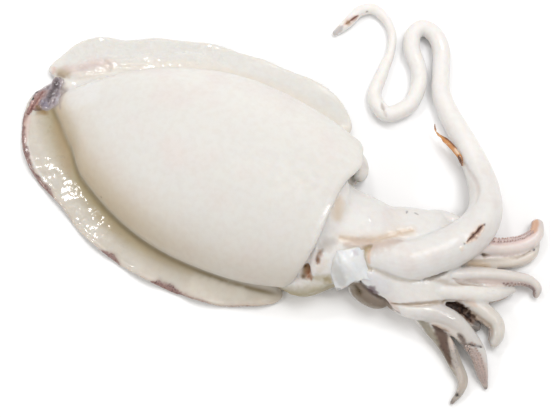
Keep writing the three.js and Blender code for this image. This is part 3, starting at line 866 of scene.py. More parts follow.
slit = [(160, 28.8, 27.8), (158.9, 25.4, 28.4), (157.4, 20.4, 29.2), (155.4, 15.6, 30)]
headCrease = [(94, -9.8, 31), (98.9, -8.7, 30.5), (104.9, -6.4, 29.8), (111, -2.8, 28.7), (116.5, 1.9, 27.6),
              (121.4, 6.9, 26.4), (126.6, 11.3, 25.2)]
crownMarks = [
    # mouth of the mantle: two hollows, the fold between them and the collar's lip
    stroke([(83.4, -29, 27), (83.2, -32.6, 21.5), (83.6, -35.6, 17)], 2.8, "#94754A", 1, core=0.4, push=-2,
           uneven=0.15, taper=0.7),
    stroke([(83.6, -29.6, 26.6), (86, -32.8, 21.8), (88.4, -34.8, 18.6)], 2.8, "#B98A62", 0.9, core=0.4,
           push=-1.4, uneven=0.15, taper=0.7),
    stroke([(84.4, -32, 22), (86, -35.2, 17.6)], 3, "#A97E52", 0.85, push=-0.6),
    stroke([(82.6, -30, 26), (82.2, -33, 20)], 1.1, "#4E3D20", 0.85, ink=0.4),
    stroke([(84.6, -31.6, 23), (86.8, -34.6, 19)], 1.8, "#A9552C", 0.75, ink=0.34, uneven=0.8),
    stroke([(87.4, -19.4, 28.4), (86.7, -22.6, 27.2), (88.2, -26.4, 27)], 2.8, "#B07F58", 0.9, push=-1.8,
           taper=0.4),
    stroke([(87.2, -19.8, 28.6), (86, -22.8, 27.2), (87.2, -26, 27)], 1.5, "#4E3419", 0.95, ink=0.46),
    stroke([(88.8, -20.4, 28.2), (88.6, -23.6, 27.2)], 1.4, "#D39B7C", 0.85),
    stroke([(84.4, -20, 29.8), (85, -24.5, 28.4), (86.2, -29, 26.4), (88.6, -33.4, 22.6)], 2.2, "#E9E4E2",
           push=0.9),
    stroke([(78, -45, 11), (85.6, -42.9, 13), (90, -39.7, 15.5), (94, -35.7, 16.9), (98.5, -31, 19.4)], 3.4,
           push=0.9),
    # painted shade: olive over the collar's lip and in the dip above it
    stroke([(74, -44, 7), (85, -42.6, 9.6), (93, -37, 12), (100, -31, 13)], 11, "#A0946C", 0.92, core=2,
           uneven=0.15, taper=0.2),
    stroke([(90, -33.6, 20.8), (93.4, -32, 22), (97, -30, 22.4)], 4.6, "#BFB28A", 0.6, push=-0.7, taper=0.3),
    stroke([(94.6, -31.6, 21.2), (98.4, -30.8, 19.4)], 4.4, "#A08F5C", 0.7),
    stroke([(90, -30, 23), (91, -26, 25.6), (92.4, -22, 27.8)], 4, "#E2D8CC", 0.6, push=0.4),
    # crease over the head in painted tan shade, with the pinkish band below it
    stroke(headCrease, 7, "#E6D6C4", 0.55, uneven=0.15, taper=0.35),
    stroke(headCrease, 3, "#D8BC9C", 0.5, push=-0.45, uneven=0.15, taper=0.35),
    stroke([(118, 4, 27.4), (123, 7.5, 26.4), (127, 10, 25.4)], 5, "#E6D6C6", 0.4, taper=0.4),
    stroke([(104, -3, 29.8), (112, 1, 28.8), (121, 6, 27)], 8, push=0.4),
    stroke([(97.6, -12.4, 30.9), (104.8, -8.8, 29.6), (114.7, -4.5, 30.7), (124, 3, 29)], 6.4, "#CDBAAF", 0.75),
    # painted tan shade on the head beside the mantle's rim
    stroke([(84.4, 8, 34.6), (86.4, 3.6, 34.4), (88, -0.6, 33.8)], 7, "#DFCDB8", 0.75, push=-0.4, uneven=0.15,
           taper=0.25),
    stroke([(90, 3, 30.6), (98.5, 1, 30.3), (106, 0, 30)], 13, core=7, wet=0.2, taper=0.2),
    stroke([(90.6, -14.2, 29.8), (87.6, -17.4, 28.8)], 6, "#C2B8B0", 0.6, push=-0.6, uneven=0.2, taper=0.2),
    # painted olive shade at the end of the tentacle's root beside its orange rim, and painted shade along its
    # underside and in the gap beyond
    stroke([(110.4, -6.4, 28.4), (108.6, -9.6, 28), (109.4, -13.8, 26.8), (112, -16.8, 25.4), (116, -18, 25)],
           3.4, "#B39A68", 0.85, push=-1.5, uneven=0.15),
    stroke([(109, -10.4, 27.2), (110, -14, 26.2), (112.6, -17, 25)], 1.9, "#7A5E2C", 0.75),
    stroke([(112, -6.6, 28.4), (111.2, -11.4, 27.8), (113.2, -15.4, 27)], 2, "#E6BF9C", 0.65, push=0.3),
    stroke([(115.4, -17.2, 26.2), (122.8, -17.2, 25.6), (130.8, -16, 25), (140.9, -12, 23)], 3.2, "#E2D8C8",
           0.6, push=-0.5, uneven=0.15),
    stroke([(138, -13, 22.6), (144, -9, 22), (150, -4, 21), (156, 2, 19)], 2.4, "#7A7066", 0.75, push=-1.3),
    # side of the head under the funnel: brown skin, darkened further as painted shade under the flap, the eye's
    # dark ring
    stroke([(110, -28, 18), (114, -30.4, 13.4), (120, -32, 10.6), (127, -32.6, 9.4), (133, -32, 9)], 6,
           "#887A68", 0.95, core=3.4, uneven=0.2, taper=0.2),
    stroke([(112.4, -27, 19.6), (116.4, -29.2, 16.8), (121, -29.8, 16), (126, -30, 15), (131.6, -29.6, 13.4)],
           4.2, "#887A6C", 0.95, core=2.6, wet=0.3, uneven=0.2, taper=0.3),
    stroke([(109.6, -26.6, 19.4), (112.6, -28.6, 16.8), (116, -30, 14)], 3, "#625030", push=-0.8, ink=0.36),
    stroke([(111.6, -24.8, 22.3), (115, -26, 20.4), (118.7, -27.2, 18.6), (122.4, -28, 17.4), (127.6, -28, 17),
           (131.4, -28.8, 14.4)], 1.9, "#5C4C42", push=-0.9, ink=0.36, uneven=0.5),
    stroke([(114, -21, 24), (121, -22.6, 22.5), (128, -24.4, 20)], 4.5, "#E6E5E8", push=0.5),
    stroke([(118.8, -26, 20), (122, -26.8, 19)], 3.8, "#75616A", 0.85, core=0.8, push=-0.3, uneven=0.5,
           taper=0.3),
    stroke([(129, -30, 15), (133, -31, 14), (139, -31, 13)], 2.4, "#7E6C5E", 0.75, push=-0.6, skin=0.4),
    stroke([(128, -28, 18), (133, -29, 16.4), (138, -30, 15)], 3, "#DEC8BC", 0.6),
    # slit in the tentacle's root
    stroke(slit, 3.2, "#E2AF88", 0.75, push=0.6),
    stroke(slit, 2, "#5A2A1A", 1, core=0.5, push=-1.8, ink=0.5, uneven=0.7, taper=0.8),
    stroke([(160.8, 29.8, 27.6), (160.2, 28.8, 27.8)], 1.1, "#3A2018", 0.9),
    stroke([(155, 15, 30.2), (154.2, 14, 30.2)], 1.1, "#3A2018", 0.9),
    stroke([(154, 12.4, 30.4), (155, 10.4, 30)], 2.4, "#F3E8DC", push=0.4, wet=1),
    # marks on the tentacle
    # a white painted highlight with a wet spot on the tentacle's loop
    stroke([(97.1, 123.4, 10), (100.8, 119.1, 10)], 4, "#FAFAF9", 0.7, wet=0.85),
    stroke([(88.8, 109.9, 9.6), (90, 107, 9.6)], 3, wet=0.8),
    stroke([(135.9, 63.6, 10.2), (141.1, 58.5, 13.6), (146.3, 53.5, 17.1), (150.3, 48.2, 20), (153, 38, 22)],
           2.6, "#DCCFC8", 0.45, push=-0.5),
    stroke([(82.4, 76.5, 8.2), (84, 74, 9), (85, 72.6, 9)], 1.7, "#BDB2AA", 0.75, push=-0.9),
    stroke([(85, 72.6, 9), (88, 69.6, 8)], 1.6, "#DCD2CD", 0.6, push=-0.4),
    stroke([(52.7, 124.4, 5.6), (52.2, 125.2, 5.4)], 1.2, "#857260", 0.9),
    stroke([(43.6, 112.4, 5.4), (45.8, 115.4, 5.8), (48.8, 120, 5.3)], 3.6, "#DFC0B2", 0.75),
    stroke([(44.4, 113, 5.4), (46, 115.2, 5.8)], 1.9, "#A07A52", 0.9, push=-0.6, ink=0.3),
    stroke([(46, 115.6, 5.8), (47.4, 118, 5.6), (48.8, 120.4, 5.3)], 1.5, "#7E4A38", 0.95, push=-0.8, ink=0.34),
    stroke([(39.6, 104, 3), (41, 107, 4.2), (43, 110.6, 5)], 4.2, "#C0BDBF", 0.85),
    # grey marks on the far side of the head
    stroke([(119.9, 21.5, 20.4), (120.3, 19.4, 22)], 0.9, "#7E7C80"),
    stroke([(123.8, 22, 20.9), (126.4, 21.6, 21.4)], 0.8, "#939194", 0.7),
    # creases between the arms, carved in and darkened as painted shade
    stroke([(143, -9.5, 24), (146.7, -7.9, 21.3), (153.7, -5.9, 18.6), (160.6, -3.5, 16.2), (166.6, 0.2, 12.4),
           (172.8, 2.8, 10.6)], 2.6, "#CDC1B6", 0.7, push=-0.6, uneven=0),
    stroke([(160, 13, 19), (164.5, 15.8, 16.5), (168.7, 18.9, 10), (172.9, 20.5, 8.3), (178.6, 22.7, 7.5),
           (185.9, 26.7, 7), (189.7, 32.3, 6.2)], 2, "#9C8064", push=-0.9),
    stroke([(165, 17, 13), (169, 19.2, 10), (173.4, 20.7, 8.8)], 1.1, "#4A3830", 0.9, ink=0.4),
    stroke([(161, 10, 12), (166, 12.5, 9.8), (172, 13.8, 8.6)], 4.4, "#CDB494", 0.7, push=0.5, taper=0.3),
    stroke([(191.2, 33.4, 6.4), (191.6, 34.3, 6.2)], 1.5, "#4A4450", 0.9, push=-0.3),
    stroke([(157, -2, 16.5), (165, -1, 13.5), (174, 1.5, 10.5), (183, 6.5, 6.5)], 2, "#B59C8C", 0.7, push=-0.9),
    stroke([(174, 3.6, 10), (180, 6.2, 8.6), (187, 9.6, 6.6)], 1.6, "#EBD9D2", push=0.3),
    stroke([(132, -28.4, 16.6), (139.6, -26, 18.5), (143.5, -24.2, 19), (147.8, -22, 18.8), (153, -18.4, 17.4),
           (158, -15, 14.6), (167, -10.5, 13.5)], 2.2, "#B49C80", 0.75, push=-1.2, uneven=0.2),
    # small wet places that shine on the arms and the head
    stroke([(147.8, -23.2, 18.7), (151, -23, 18.5)], 2.6, core=1.4, wet=1, taper=0.2),
    stroke([(162.6, -22.4, 17.2), (167, -23.4, 16.3)], 2.8, core=1.4, wet=1, taper=0.2),
    stroke([(175.8, 0, 13.3), (181, 1.8, 11.8)], 1.6, core=0.8, wet=1, taper=0.2),
    stroke([(189.5, -14, 9.6), (188.9, -11.4, 9.8)], 2.6, core=1.2, wet=1, taper=0.2),
    stroke([(103, 6.9, 28.8), (104.8, 7, 28.5)], 1.8, core=1, wet=1, taper=0.2),
    stroke([(158.4, -14, 10.4), (163, -13.2, 9), (168.7, -14.4, 7.6), (173.6, -16, 6.8), (178.4, -17, 5.8)],
           5.4, "#7A6050", 0.9, core=1, push=-1, wet=0.2, uneven=0.7),
    stroke([(157, -15, 11.6), (161.6, -13.4, 9.6), (166.4, -13.6, 8.2), (171, -15, 7.2), (176.4, -16.8, 6.2)],
           3.8, "#4B3328", 0.9, core=0.5, ink=0.66, wet=0.1, uneven=1),
    stroke([(180, -15.6, 6), (184, -16.3, 5), (186.5, -19, 4.4), (187.3, -23, 3.6)], 2.2, "#5E4D46", 0.7),
    stroke([(162, -9.5, 13), (168, -8.6, 12), (174, -9, 11.4)], 4.5, "#DDC4B4", 0.7),
    # arm F: dark side, cut line and pinkish face
    stroke([(169.6, -27.6, 12.6), (172.8, -28.6, 12.6), (177.2, -31, 11), (181.6, -35, 8.6), (187, -40.6, 6),
           (191.4, -45, 3.8)], 2.4, "#66534B", 0.85, core=0.6, ink=0.38, wet=0.2, uneven=0.5),
    stroke([(157, -28.9, 14), (160.8, -28.8, 13.6), (166.3, -28.4, 13.2)], 1.8, "#B79C86", 0.7),
    stroke([(176, -30, 10.6), (180.4, -29.8, 10.8), (186, -28.2, 9.8)], 1.7, "#4A3430", 0.9, push=-1, ink=0.7),
    stroke([(182, -32, 9.6), (186, -35.4, 7.6), (190.4, -39.6, 5.6), (194.6, -44.4, 3.6)], 4.6, "#D2B6AD", 0.85,
           core=1.6),
    stroke([(179.4, -31.4, 10), (182, -33.4, 9)], 2.4, "#7E5E52", 0.7, push=-0.3, skin=0.5),
    stroke([(196, -46, 2.8), (197.5, -48, 1.8)], 2.6, "#7F7C7E"),
    # arm G: olive-grey skin, dark band, knobby light part, grey tip
    stroke([(148, -27.6, 10), (156, -31.8, 9), (163.2, -36.2, 7.6), (168, -39.3, 7), (173.3, -43.2, 6.2),
           (178.3, -46.8, 5.3)], 5, "#A49D8D", 0.9, core=2.4, wet=0.3),
    stroke([(157, -29.6, 13), (160.4, -30.4, 12), (164.2, -31.8, 10.4), (166, -34.4, 9.6), (167.6, -37.2, 8.7),
           (172, -41.2, 7.1), (176.8, -44.4, 7)], 4, "#6A544A", 0.95, core=1.6, push=-0.3, skin=0.2, ink=0.36,
           wet=0.3, uneven=0.4, taper=0.75),
    stroke([(168.4, -30.4, 10.8), (171, -34, 10.6), (172.6, -37.4, 10)], 3, "#DCCBC0", push=0.5),
    stroke([(168.6, -38.6, 8.4), (172, -41, 7.6), (176, -44.6, 6.6)], 1.6, "#75604F", 0.7, push=-0.4, ink=0.34),
    stroke([(174, -41.5, 8), (178, -45, 7.6), (182.4, -49.6, 6.4)], 4.4, "#D6CEC9", 0.7),
    stroke([(183.6, -55.6, 4.2), (183.6, -57.4, 3.8)], 2, "#2E2422", 0.9, push=-0.3, ink=0.6),
    stroke([(183, -59.5, 3), (182.4, -62, 2)], 3.4, "#8B8684", 0.75),
    # arm A: orange end; dark dots at the end of arm C
    stroke([(186.4, 40.6, 10), (186.8, 45, 9), (186.2, 50, 7.4)], 2.9, "#D9AE90", core=1.2, wet=0.3),
    stroke([(185.6, 50.4, 7.4), (185.8, 52.6, 6.2)], 1.9, "#5E5040", 0.85),
    stroke([(197.8, 14.2, 5.4), (200.4, 12.4, 4.6), (201.6, 9, 3.8)], 2, "#7B6A66", 0.7, skin=0.5),
    stroke([(177.5, -19, 6.6), (179.4, -18, 6), (182, -18.8, 4.6)], 4.4, "#86817E", 0.9, core=1.4),
]
crownRest = carve(crown, crownMarks)

coolSpots = (((103, -22, 22), "#E9EAEE", 13), ((122, -20, 22), "#E6E6E8", 11))  # bluish flesh by the funnel
armTints = {  # the arm's own flesh, its sucker face and its tip
    "A": ("#F1E6E3", "#E9CFCA", "#CFCAC9"),
    "B": ("#E2D8CD", "#D9C9B9", "#C9C8C5"),
    "C": ("#E3DEDA", "#DCCBC5", "#BFB7B4"),
    "D": ("#EFEDEA", "#E2DAD4", "#CFCDCB"),
    "E": ("#DFDAD3", "#CDBBAA", "#D2CEC9"),
    "F": ("#D4D1CF", "#DDD6D0", "#A69D9A"),
    "G": ("#BDB6AA", "#C6BDB4", "#9C9692"),
    "H": ("#A9A19B", "#A39C96", "#A5A29E"),
}


def nearestArm(points):
    # for each point the arm it belongs to (-1 for none), how far along, and how much it faces the suckers' side
    best = np.full(len(points), 1.5)  # mm from an arm's skin that still counts as the arm
    which, along, facing = np.full(len(points), -1), np.zeros(len(points)), np.zeros(len(points))
    steps = np.linspace(0, 1, 90)
    for index, arm in enumerate(arms.values()):
        middle, sideways, upward, wide, high = limbFrame(arm["path"], arm["girth"], steps)
        near = np.all((points > middle.min(axis=0) - 9) & (points < middle.max(axis=0) + 9), axis=1)
        near = np.flatnonzero(near)
        distance = np.linalg.norm(points[near, None] - middle[None], axis=2)
        at = distance.argmin(axis=1)
        gap = distance.min(axis=1) - ((wide + high) / 2)[at, 0]
        offset = points[near] - middle[at]
        angle = np.arctan2((offset * sideways[at]).sum(axis=1), (offset * upward[at]).sum(axis=1))
        won = gap < best[near]
        best[near[won]] = gap[won]
        which[near[won]] = index
        along[near[won]] = steps[at[won]]
        facing[near[won]] = np.cos(angle - np.radians(lerp(*arm["oral"], steps[at])))[won]
    return which, along, facing


def paintCrown():
    points, normals = pointsOf(crown), normalsOf(crown)
    which, along, facing = nearestArm(points)
    patches = grain(points, 14, 6)
    tone = tintAll(plainTone(crown, "#F0EFEE"), (
        ("#EAE2DF", easeStep(patches, -0.1, 0.6) * 0.45),
        # painted shade on the surfaces that face down
        ("#D8CDC2", (1 - easeStep(normals[:, 2], -0.5, 0.5)) * 0.5),
    ))
    for index, (flesh, face, end) in enumerate(armTints.values()):
        mine = (which == index) * easeStep(along, 0.15, 0.4)
        tone = tintAll(tone, (
            (flesh, mine * 0.8),
            (face, mine * easeStep(facing, 0.5, 0.9) * 0.9),
            (end, (which == index) * easeStep(along, 0.75, 1) * 0.7),
        ))
    for place, colour, reach in coolSpots:
        tone = tint(tone, colour, 1 - easeStep(np.linalg.norm(points - place, axis=1), reach * 0.4, reach))
    # painted shade: where the surface is hollow, between the arms and in other creases, it is tinted brown
    hollow = spread(crown, hollowness(crown, 12), 2)
    # the tentacle's free part is milky and less wet
    distance, share = lineNearest(points, smoothLine(tentacle["path"], np.linspace(0, 1, 160)))
    free = easeStep(share, 0.16, 0.26) * (1 - easeStep(distance, 7, 9))
    tone = tintAll(tone, (("#A88E74", easeStep(hollow, 0.12, 0.7) * 0.6), ("#FBFAF9", free * 0.85)))
    paint(crown, tone, lerp(0.55, 0.3, free), crownMarks, crownRest)


paintCrown()
print("head and arms painted")


# ---- funnel flap, torn skin, skin on the tip, suckers ----

funnelFlap = {
    "net": [  # rows from the head's crease down to the hem
        [(93.9, -16.9, 28.5), (98.3, -14, 30.4), (103.6, -10.2, 30), (108.3, -7.5, 27.4)],
        [(94.4, -22.2, 27.6), (100.8, -20.9, 31.4), (105.7, -16.4, 30.6), (110.7, -13.3, 26)],
        [(97, -28.6, 23.8), (103.6, -25.5, 27.4), (109, -21.5, 27.4), (114.5, -18.4, 24.8)],
        [(102.9, -33.4, 12), (107.2, -29.9, 17.6), (112.1, -24.5, 23.2), (118.7, -22.5, 23.8)],
    ],
    "cells": 30,
    "thickness": 1.2,
    "fold": stroke([(95.8, -17.4, 30.2), (99.6, -19.6, 31.2), (105.4, -22.4, 29), (109.2, -23.8, 26),
                   (111.7, -24.6, 23.6)], 4, push=1.45, uneven=0, taper=0.4),
}


def netPoint(net, u, v):
    # a smooth surface through a small net of given points
    rows = [smoothLine(row, u) for row in net]
    points = np.empty((len(u), 3))
    for k in range(len(u)):
        points[k] = smoothLine([row[k] for row in rows], v[k:k + 1])[0]
    return points


def buildFunnelFlap():
    f = funnelFlap
    bm = bmesh.new()
    made = bmesh.ops.create_grid(bm, x_segments=f["cells"], y_segments=f["cells"], size=0.5)
    flat = vertPoints(made["verts"]) + 0.5
    placeVerts(made["verts"], netPoint(f["net"], flat[:, 0], 1 - flat[:, 1]))
    piece = newPiece(bm, "funnelFlap")
    carve(piece, [f["fold"]])
    points = pointsOf(piece)
    setPoints(piece, points + normalsOf(piece) * (0.3 * grain(points, 5, 4))[:, None])
    addModifier(piece, "SOLIDIFY", thickness=f["thickness"], offset=-1)
    addModifier(piece, "SUBSURF", levels=1, render_levels=1)
    applyModifiers(piece)
    return piece


flap = buildFunnelFlap()
paint(flap, plainTone(flap, "#FAFAFB"), 0.6, [
    # painted shade on the flap's lower left facet
    stroke([(96.6, -24, 28.4), (100.4, -27.6, 26.4), (104, -30, 20)], 5, "#D6D5D3", core=1.6, wet=0.3,
           taper=0.3),
    # painted highlight along the fold
    stroke([(94.3, -16.5, 30.6), (99.6, -19.4, 32.4), (105.4, -22, 30), (109.2, -23.4, 27)], 2.4, "#FFFFFF",
           0.7),
    stroke([(93.8, -18, 29.4), (94.3, -22.3, 28.4), (95.7, -26, 25.6)], 2.4, "#E2D9CC"),
    # painted shade: a dark line in the crease along the top edge, olive where the flap meets the head
    stroke([(93.5, -16.8, 29.6), (98.3, -14, 30.9), (103.6, -10.2, 30.4), (108.3, -7.5, 27.6)], 1.4, "#B49E7E",
           0.75),
    stroke([(108, -9, 27.8), (109.4, -11.6, 26.8), (111, -14.4, 26)], 2.6, "#BBA778", 0.7),
    # painted shadow at the flap's bottom tip and painted lavender shade near its top
    stroke([(102.7, -33, 13), (104.1, -31.9, 15.4)], 3, "#9FA1A2"),
    stroke([(102.8, -13.6, 31), (105.8, -14, 30.6)], 4, "#D8D4DE"),
    stroke([(104.7, -31.9, 15.4), (107.9, -29.1, 19.4), (110.8, -25.5, 23)], 1.5, "#E9DAD2", 0.85),
])

tornSkin = {
    "path": [(113.9, 77.6, 8.5), (116.6, 73.4, 8.5), (120, 71.8, 8.8), (124.6, 70.2, 9.6), (130.4, 67, 10.6),
             (134.6, 63.8, 11.4), (137.4, 60, 11.6)],
    "girth": [(0.3, 0.3), (0.5, 0.4), (0.9, 0.5), (1.7, 0.6), (1.5, 0.8), (1.2, 0.8), (0.6, 0.5)],
    "ragged": 0.4,
}


def buildTornSkin():
    t = tornSkin
    bm = bmesh.new()
    addLimb(bm, t["path"], t["girth"], 24, 0.5)
    piece = newPiece(bm, "tornSkin")
    points, normals = pointsOf(piece), normalsOf(piece)
    push = t["ragged"] * (grain(points, 3.2, 11) + 0.6 * grain(points, 1.3, 12))
    setPoints(piece, points + normals * push[:, None])
    addModifier(piece, "SUBSURF", levels=1, render_levels=1)
    applyModifiers(piece)
    return piece


strip = buildTornSkin()
paint(strip, plainTone(strip, "#CB9158"), 0.7, [
    stroke([(113.9, 77.6, 8.8), (117, 74.6, 9.2), (122, 72.6, 9.8), (127, 70.8, 10.6), (131, 68.4, 11.4)], 1.5,
           "#6B3A22", 0.9, core=0.5, taper=0.2),
    stroke([(117, 71.2, 8.8), (121, 69.2, 9.4), (126, 66.8, 10), (131, 64.4, 11)], 1.4, "#9A5E36"),
    # painted highlight, a cream spot
    stroke([(129.8, 68, 11), (133, 65.4, 11.8)], 1.6, "#EAD3BC", 0.95),
    stroke([(133.4, 64.4, 12), (137.6, 59.6, 12.2)], 2.4, "#4A2216", 0.95, ink=0.42),
])

tipSkin = {
    "centre": (-89.5, 2.5),
    "halfSize": (11, 13.5),
    "cells": 92,
    "outline": [(-99.8, 3), (-97.6, 8), (-94.6, 12.4), (-92.4, 16), (-89, 17), (-85.6, 15), (-85, 11),
                (-82.8, 6), (-81.5, 0), (-84.2, -3.6), (-87.5, -5.8), (-91, -7.6), (-94.5, -8), (-96, -13),
                (-98.2, -13), (-99.6, -4)],
    "thickness": 0.7,
    "sunk": 0.5,  # how deep its edge lies in the flesh
    "wrinkleSize": 3.2,
    "wrinkleHeight": 0.42,
    "fineSize": 1.1,
    "fineHeight": 0.16,
}


def insideShare(points, outline, soft):
    # 1 well inside a closed outline seen from above, 0 outside it
    edge = np.array([(x, y, 0) for x, y in outline + outline[:1]], float)
    flat = points * (1, 1, 0)
    crossings = np.zeros(len(points), int)
    for a, b in zip(edge, edge[1:]):
        spans = (a[1] > flat[:, 1]) != (b[1] > flat[:, 1])
        at = a[0] + (flat[:, 1] - a[1]) / (b[1] - a[1] + 1e-9) * (b[0] - a[0])
        crossings += spans & (flat[:, 0] < at)
    return np.where(crossings % 2 == 1, easeStep(lineNearest(flat, edge)[0], 0, soft), 0)


def buildTipSkin():
    t = tipSkin
    tree = BVHTree.FromObject(body, bpy.context.evaluated_depsgraph_get())
    bm = bmesh.new()
    made = bmesh.ops.create_grid(bm, x_segments=t["cells"], y_segments=t["cells"], size=1)
    flat = vertPoints(made["verts"]) * (*t["halfSize"], 0) + (*t["centre"], 0)
    lift = np.zeros(len(flat))
    for k, (x, y, _) in enumerate(flat):
        hit = tree.ray_cast(Vector((x, y, 60)), Vector((0, 0, -1)))[0]
        lift[k] = hit.z if hit else 0.6
    wobble = np.column_stack([grain(flat, 4, 21), grain(flat, 4, 22), np.zeros(len(flat))])
    inside = insideShare(flat + 0.9 * wobble, t["outline"], 2.2)
    ridged = 1 - 2 * np.abs(grain(flat * (1, 0.55, 1), t["wrinkleSize"], 23))
    fine = grain(flat, t["fineSize"], 24)
    raised = (t["thickness"] + t["wrinkleHeight"] * ridged + t["fineHeight"] * fine) * inside
    flat[:, 2] = lift + raised - t["sunk"] * (1 - easeStep(inside, 0, 0.3))
    placeVerts(made["verts"], flat)
    ridge, cover = (bm.verts.layers.float.new(name) for name in ("ridge", "cover"))
    for k, vert in enumerate(bm.verts):
        vert[ridge], vert[cover] = ridged[k], inside[k]
    outside = [vert for vert, share in zip(bm.verts, inside) if share <= 0.01]
    bmesh.ops.delete(bm, geom=outside, context="VERTS")
    piece = newPiece(bm, "tipSkin")
    if normalsOf(piece)[:, 2].mean() < 0:
        piece.data.flip_normals()
    addModifier(piece, "SMOOTH", factor=0.5, iterations=1)
    addModifier(piece, "SOLIDIFY", thickness=t["thickness"], offset=-1)
    applyModifiers(piece)
    return piece


def paintTipSkin():
    ridge, cover = (meshArray(tip.data.attributes[name].data, "value", 1)[:, 0] for name in ("ridge", "cover"))
    tone = tintAll(plainTone(tip, "#A89DA3"), (
        # painted shade in the wrinkles' valleys and painted light on their crests
        ("#81747A", (1 - easeStep(ridge, -0.2, 0.7)) * 0.75),
        ("#D2C9CE", easeStep(ridge, 0.8, 1) * 0.35),
        ("#C9BDB8", 1 - easeStep(cover, 0.1, 0.8)),
    ))
    paint(tip, tone, 0.85, [
        stroke([(-93.6, 7.4, 6), (-94.8, 2, 5.6), (-95.4, -4, 6), (-96, -10, 5), (-96.4, -14, 4)], 4.4,
               "#A87F78", 0.85, core=1),
        stroke([(-95, 5, 4.7), (-94.8, 1.3, 6.1), (-95, -3, 6.7), (-96, -7.6, 5.7), (-96.7, -13.1, 3.9)], 1.5,
               "#6E332F", ink=0.25, uneven=0.9, taper=0.9),
        stroke([(-97.4, 1, 5.4), (-97, -4, 5.6), (-96.6, -9, 4.6)], 1, "#CC9C92", uneven=0.8),
        stroke([(-93.8, 3, 6.4), (-94, -2, 6.6), (-95, -7, 6)], 1.1, "#C39A8E", 0.75, uneven=0.8),
        stroke([(-91.4, 10, 6), (-92.6, 5, 6.4), (-92.4, 1, 7)], 2.4, "#A08A8A", 0.7),
        stroke([(-89.1, 15.3, 7), (-89.5, 11.1, 7.3), (-89.8, 7.6, 5.8), (-89.7, 4, 6.8), (-88.4, 0, 7.6)], 3,
               "#574A50", 0.85, core=0.6, ink=0.32, uneven=0.6),
        stroke([(-95, 10.4, 4), (-92, 13, 6)], 2.4, "#5E5057"),
        stroke([(-91.4, 9, 6), (-90.9, 5, 7)], 1.1, "#D8C4B4", 0.85),
        stroke([(-86.4, 11, 8), (-85, 5, 10), (-83.6, 0, 10)], 3, "#C5B9C3", 0.75),
        stroke([(-93, -0.6, 7), (-91, -1.8, 7.2), (-88, -3, 7.6)], 4.4, "#857D8F"),
        stroke([(-94, -5, 6.4), (-90, -6.6, 6.6)], 3.4, "#7C5A30", 0.9),
        stroke([(-98.6, 3.6, 4.2), (-97.8, 2.6, 5.2)], 1.6, "#1E1214", 1, ink=1),
        stroke([(-98.6, -1.4, 4.4), (-97.4, -2.2, 5.6)], 1.9, "#1E1214", 1, ink=1),
        stroke([(-82.8, -1.8, 10), (-85.6, -4.6, 9), (-88.4, -6.2, 7)], 1.4, "#6E5F66", 0.7),
    ])


tip = buildTipSkin()
paintTipSkin()

suckers = {
    "sides": 8,
    "gap": 2.3,  # from one to the next, in radii
    # radius and height of the cup's outline, from under its base up over the rim and down into the hollow
    "profile": [(0, -0.5), (0.95, -0.5), (1, 0.25), (0.8, 0.55), (0.48, 0.4), (0.22, 0.02), (0, 0)],
    "rows": {  # arm, start and end of the row along it, turns from the sucker face, radius in mm
        "A": (0.36, 0.8, (-22, 2, 24), 0.8),
        "B": (0.45, 0.95, (-14, 14), 0.75),
        "C": (0.46, 0.95, (-18, 4, 26), 0.85),
        "D": (0.74, 0.92, (-18, 18), 0.7),
        "E": (0.72, 0.95, (-20, 6, 30), 0.75),
        "F": (0.62, 0.94, (-46, -25, -4, 16), 0.8),
        "G": (0.45, 0.6, (-10, 12), 0.6),
    },
}


def suckerCup():
    bm = bmesh.new()
    verts = [bm.verts.new((radius, 0, height)) for radius, height in suckers["profile"]]
    edges = [bm.edges.new(pair) for pair in zip(verts, verts[1:])]
    bmesh.ops.spin(bm, geom=verts + edges, cent=(0, 0, 0), axis=(0, 0, 1), angle=2 * math.pi,
                   steps=suckers["sides"], use_merge=True)
    bmesh.ops.remove_doubles(bm, verts=bm.verts, dist=1e-3)
    cup = bpy.data.meshes.new("suckerCup")
    bm.to_mesh(cup)
    bm.free()
    return cup


def buildSuckers():
    chance = random.Random(5)
    tree = BVHTree.FromObject(crown, bpy.context.evaluated_depsgraph_get())
    cup = suckerCup()
    corners = meshArray(cup.vertices, "co", 3)
    hollow = (np.hypot(corners[:, 0], corners[:, 1]) < 0.6) & (corners[:, 2] > -0.1)
    count = 0
    bm = bmesh.new()
    for name, (start, end, turns, radius) in suckers["rows"].items():
        arm = arms[name]
        length = lineLength(arm["path"])
        for row, turn in enumerate(turns):
            along = start + 0.5 * (row % 2) * radius * suckers["gap"] / length
            while along < end:
                small = lerp(1, 0.5, easeStep(np.array([along]), start, 1.05)[0])
                share = np.array([along + chance.uniform(-0.004, 0.004)])
                near = armPoints(arm, share, turn + chance.uniform(-4, 4), 1.15)[0]
                at, outward, _, _ = tree.find_nearest(Vector(near))
                facing = outward.to_track_quat("Z", "Y").to_matrix().to_4x4()
                scale = Matrix.Scale(radius * small * chance.uniform(0.85, 1.1), 4)
                turned = Matrix.Rotation(chance.uniform(0, 1), 4, "Z")
                placed = cup.copy()
                placed.transform(Matrix.Translation(at) @ facing @ turned @ scale)
                bm.from_mesh(placed)
                bpy.data.meshes.remove(placed)
                count += 1
                along += suckers["gap"] * radius * small / length
    return newPiece(bm, "suckers"), np.tile(hollow, count)


cups, cupHollow = buildSuckers()
print("suckers", len(cups.data.polygons))


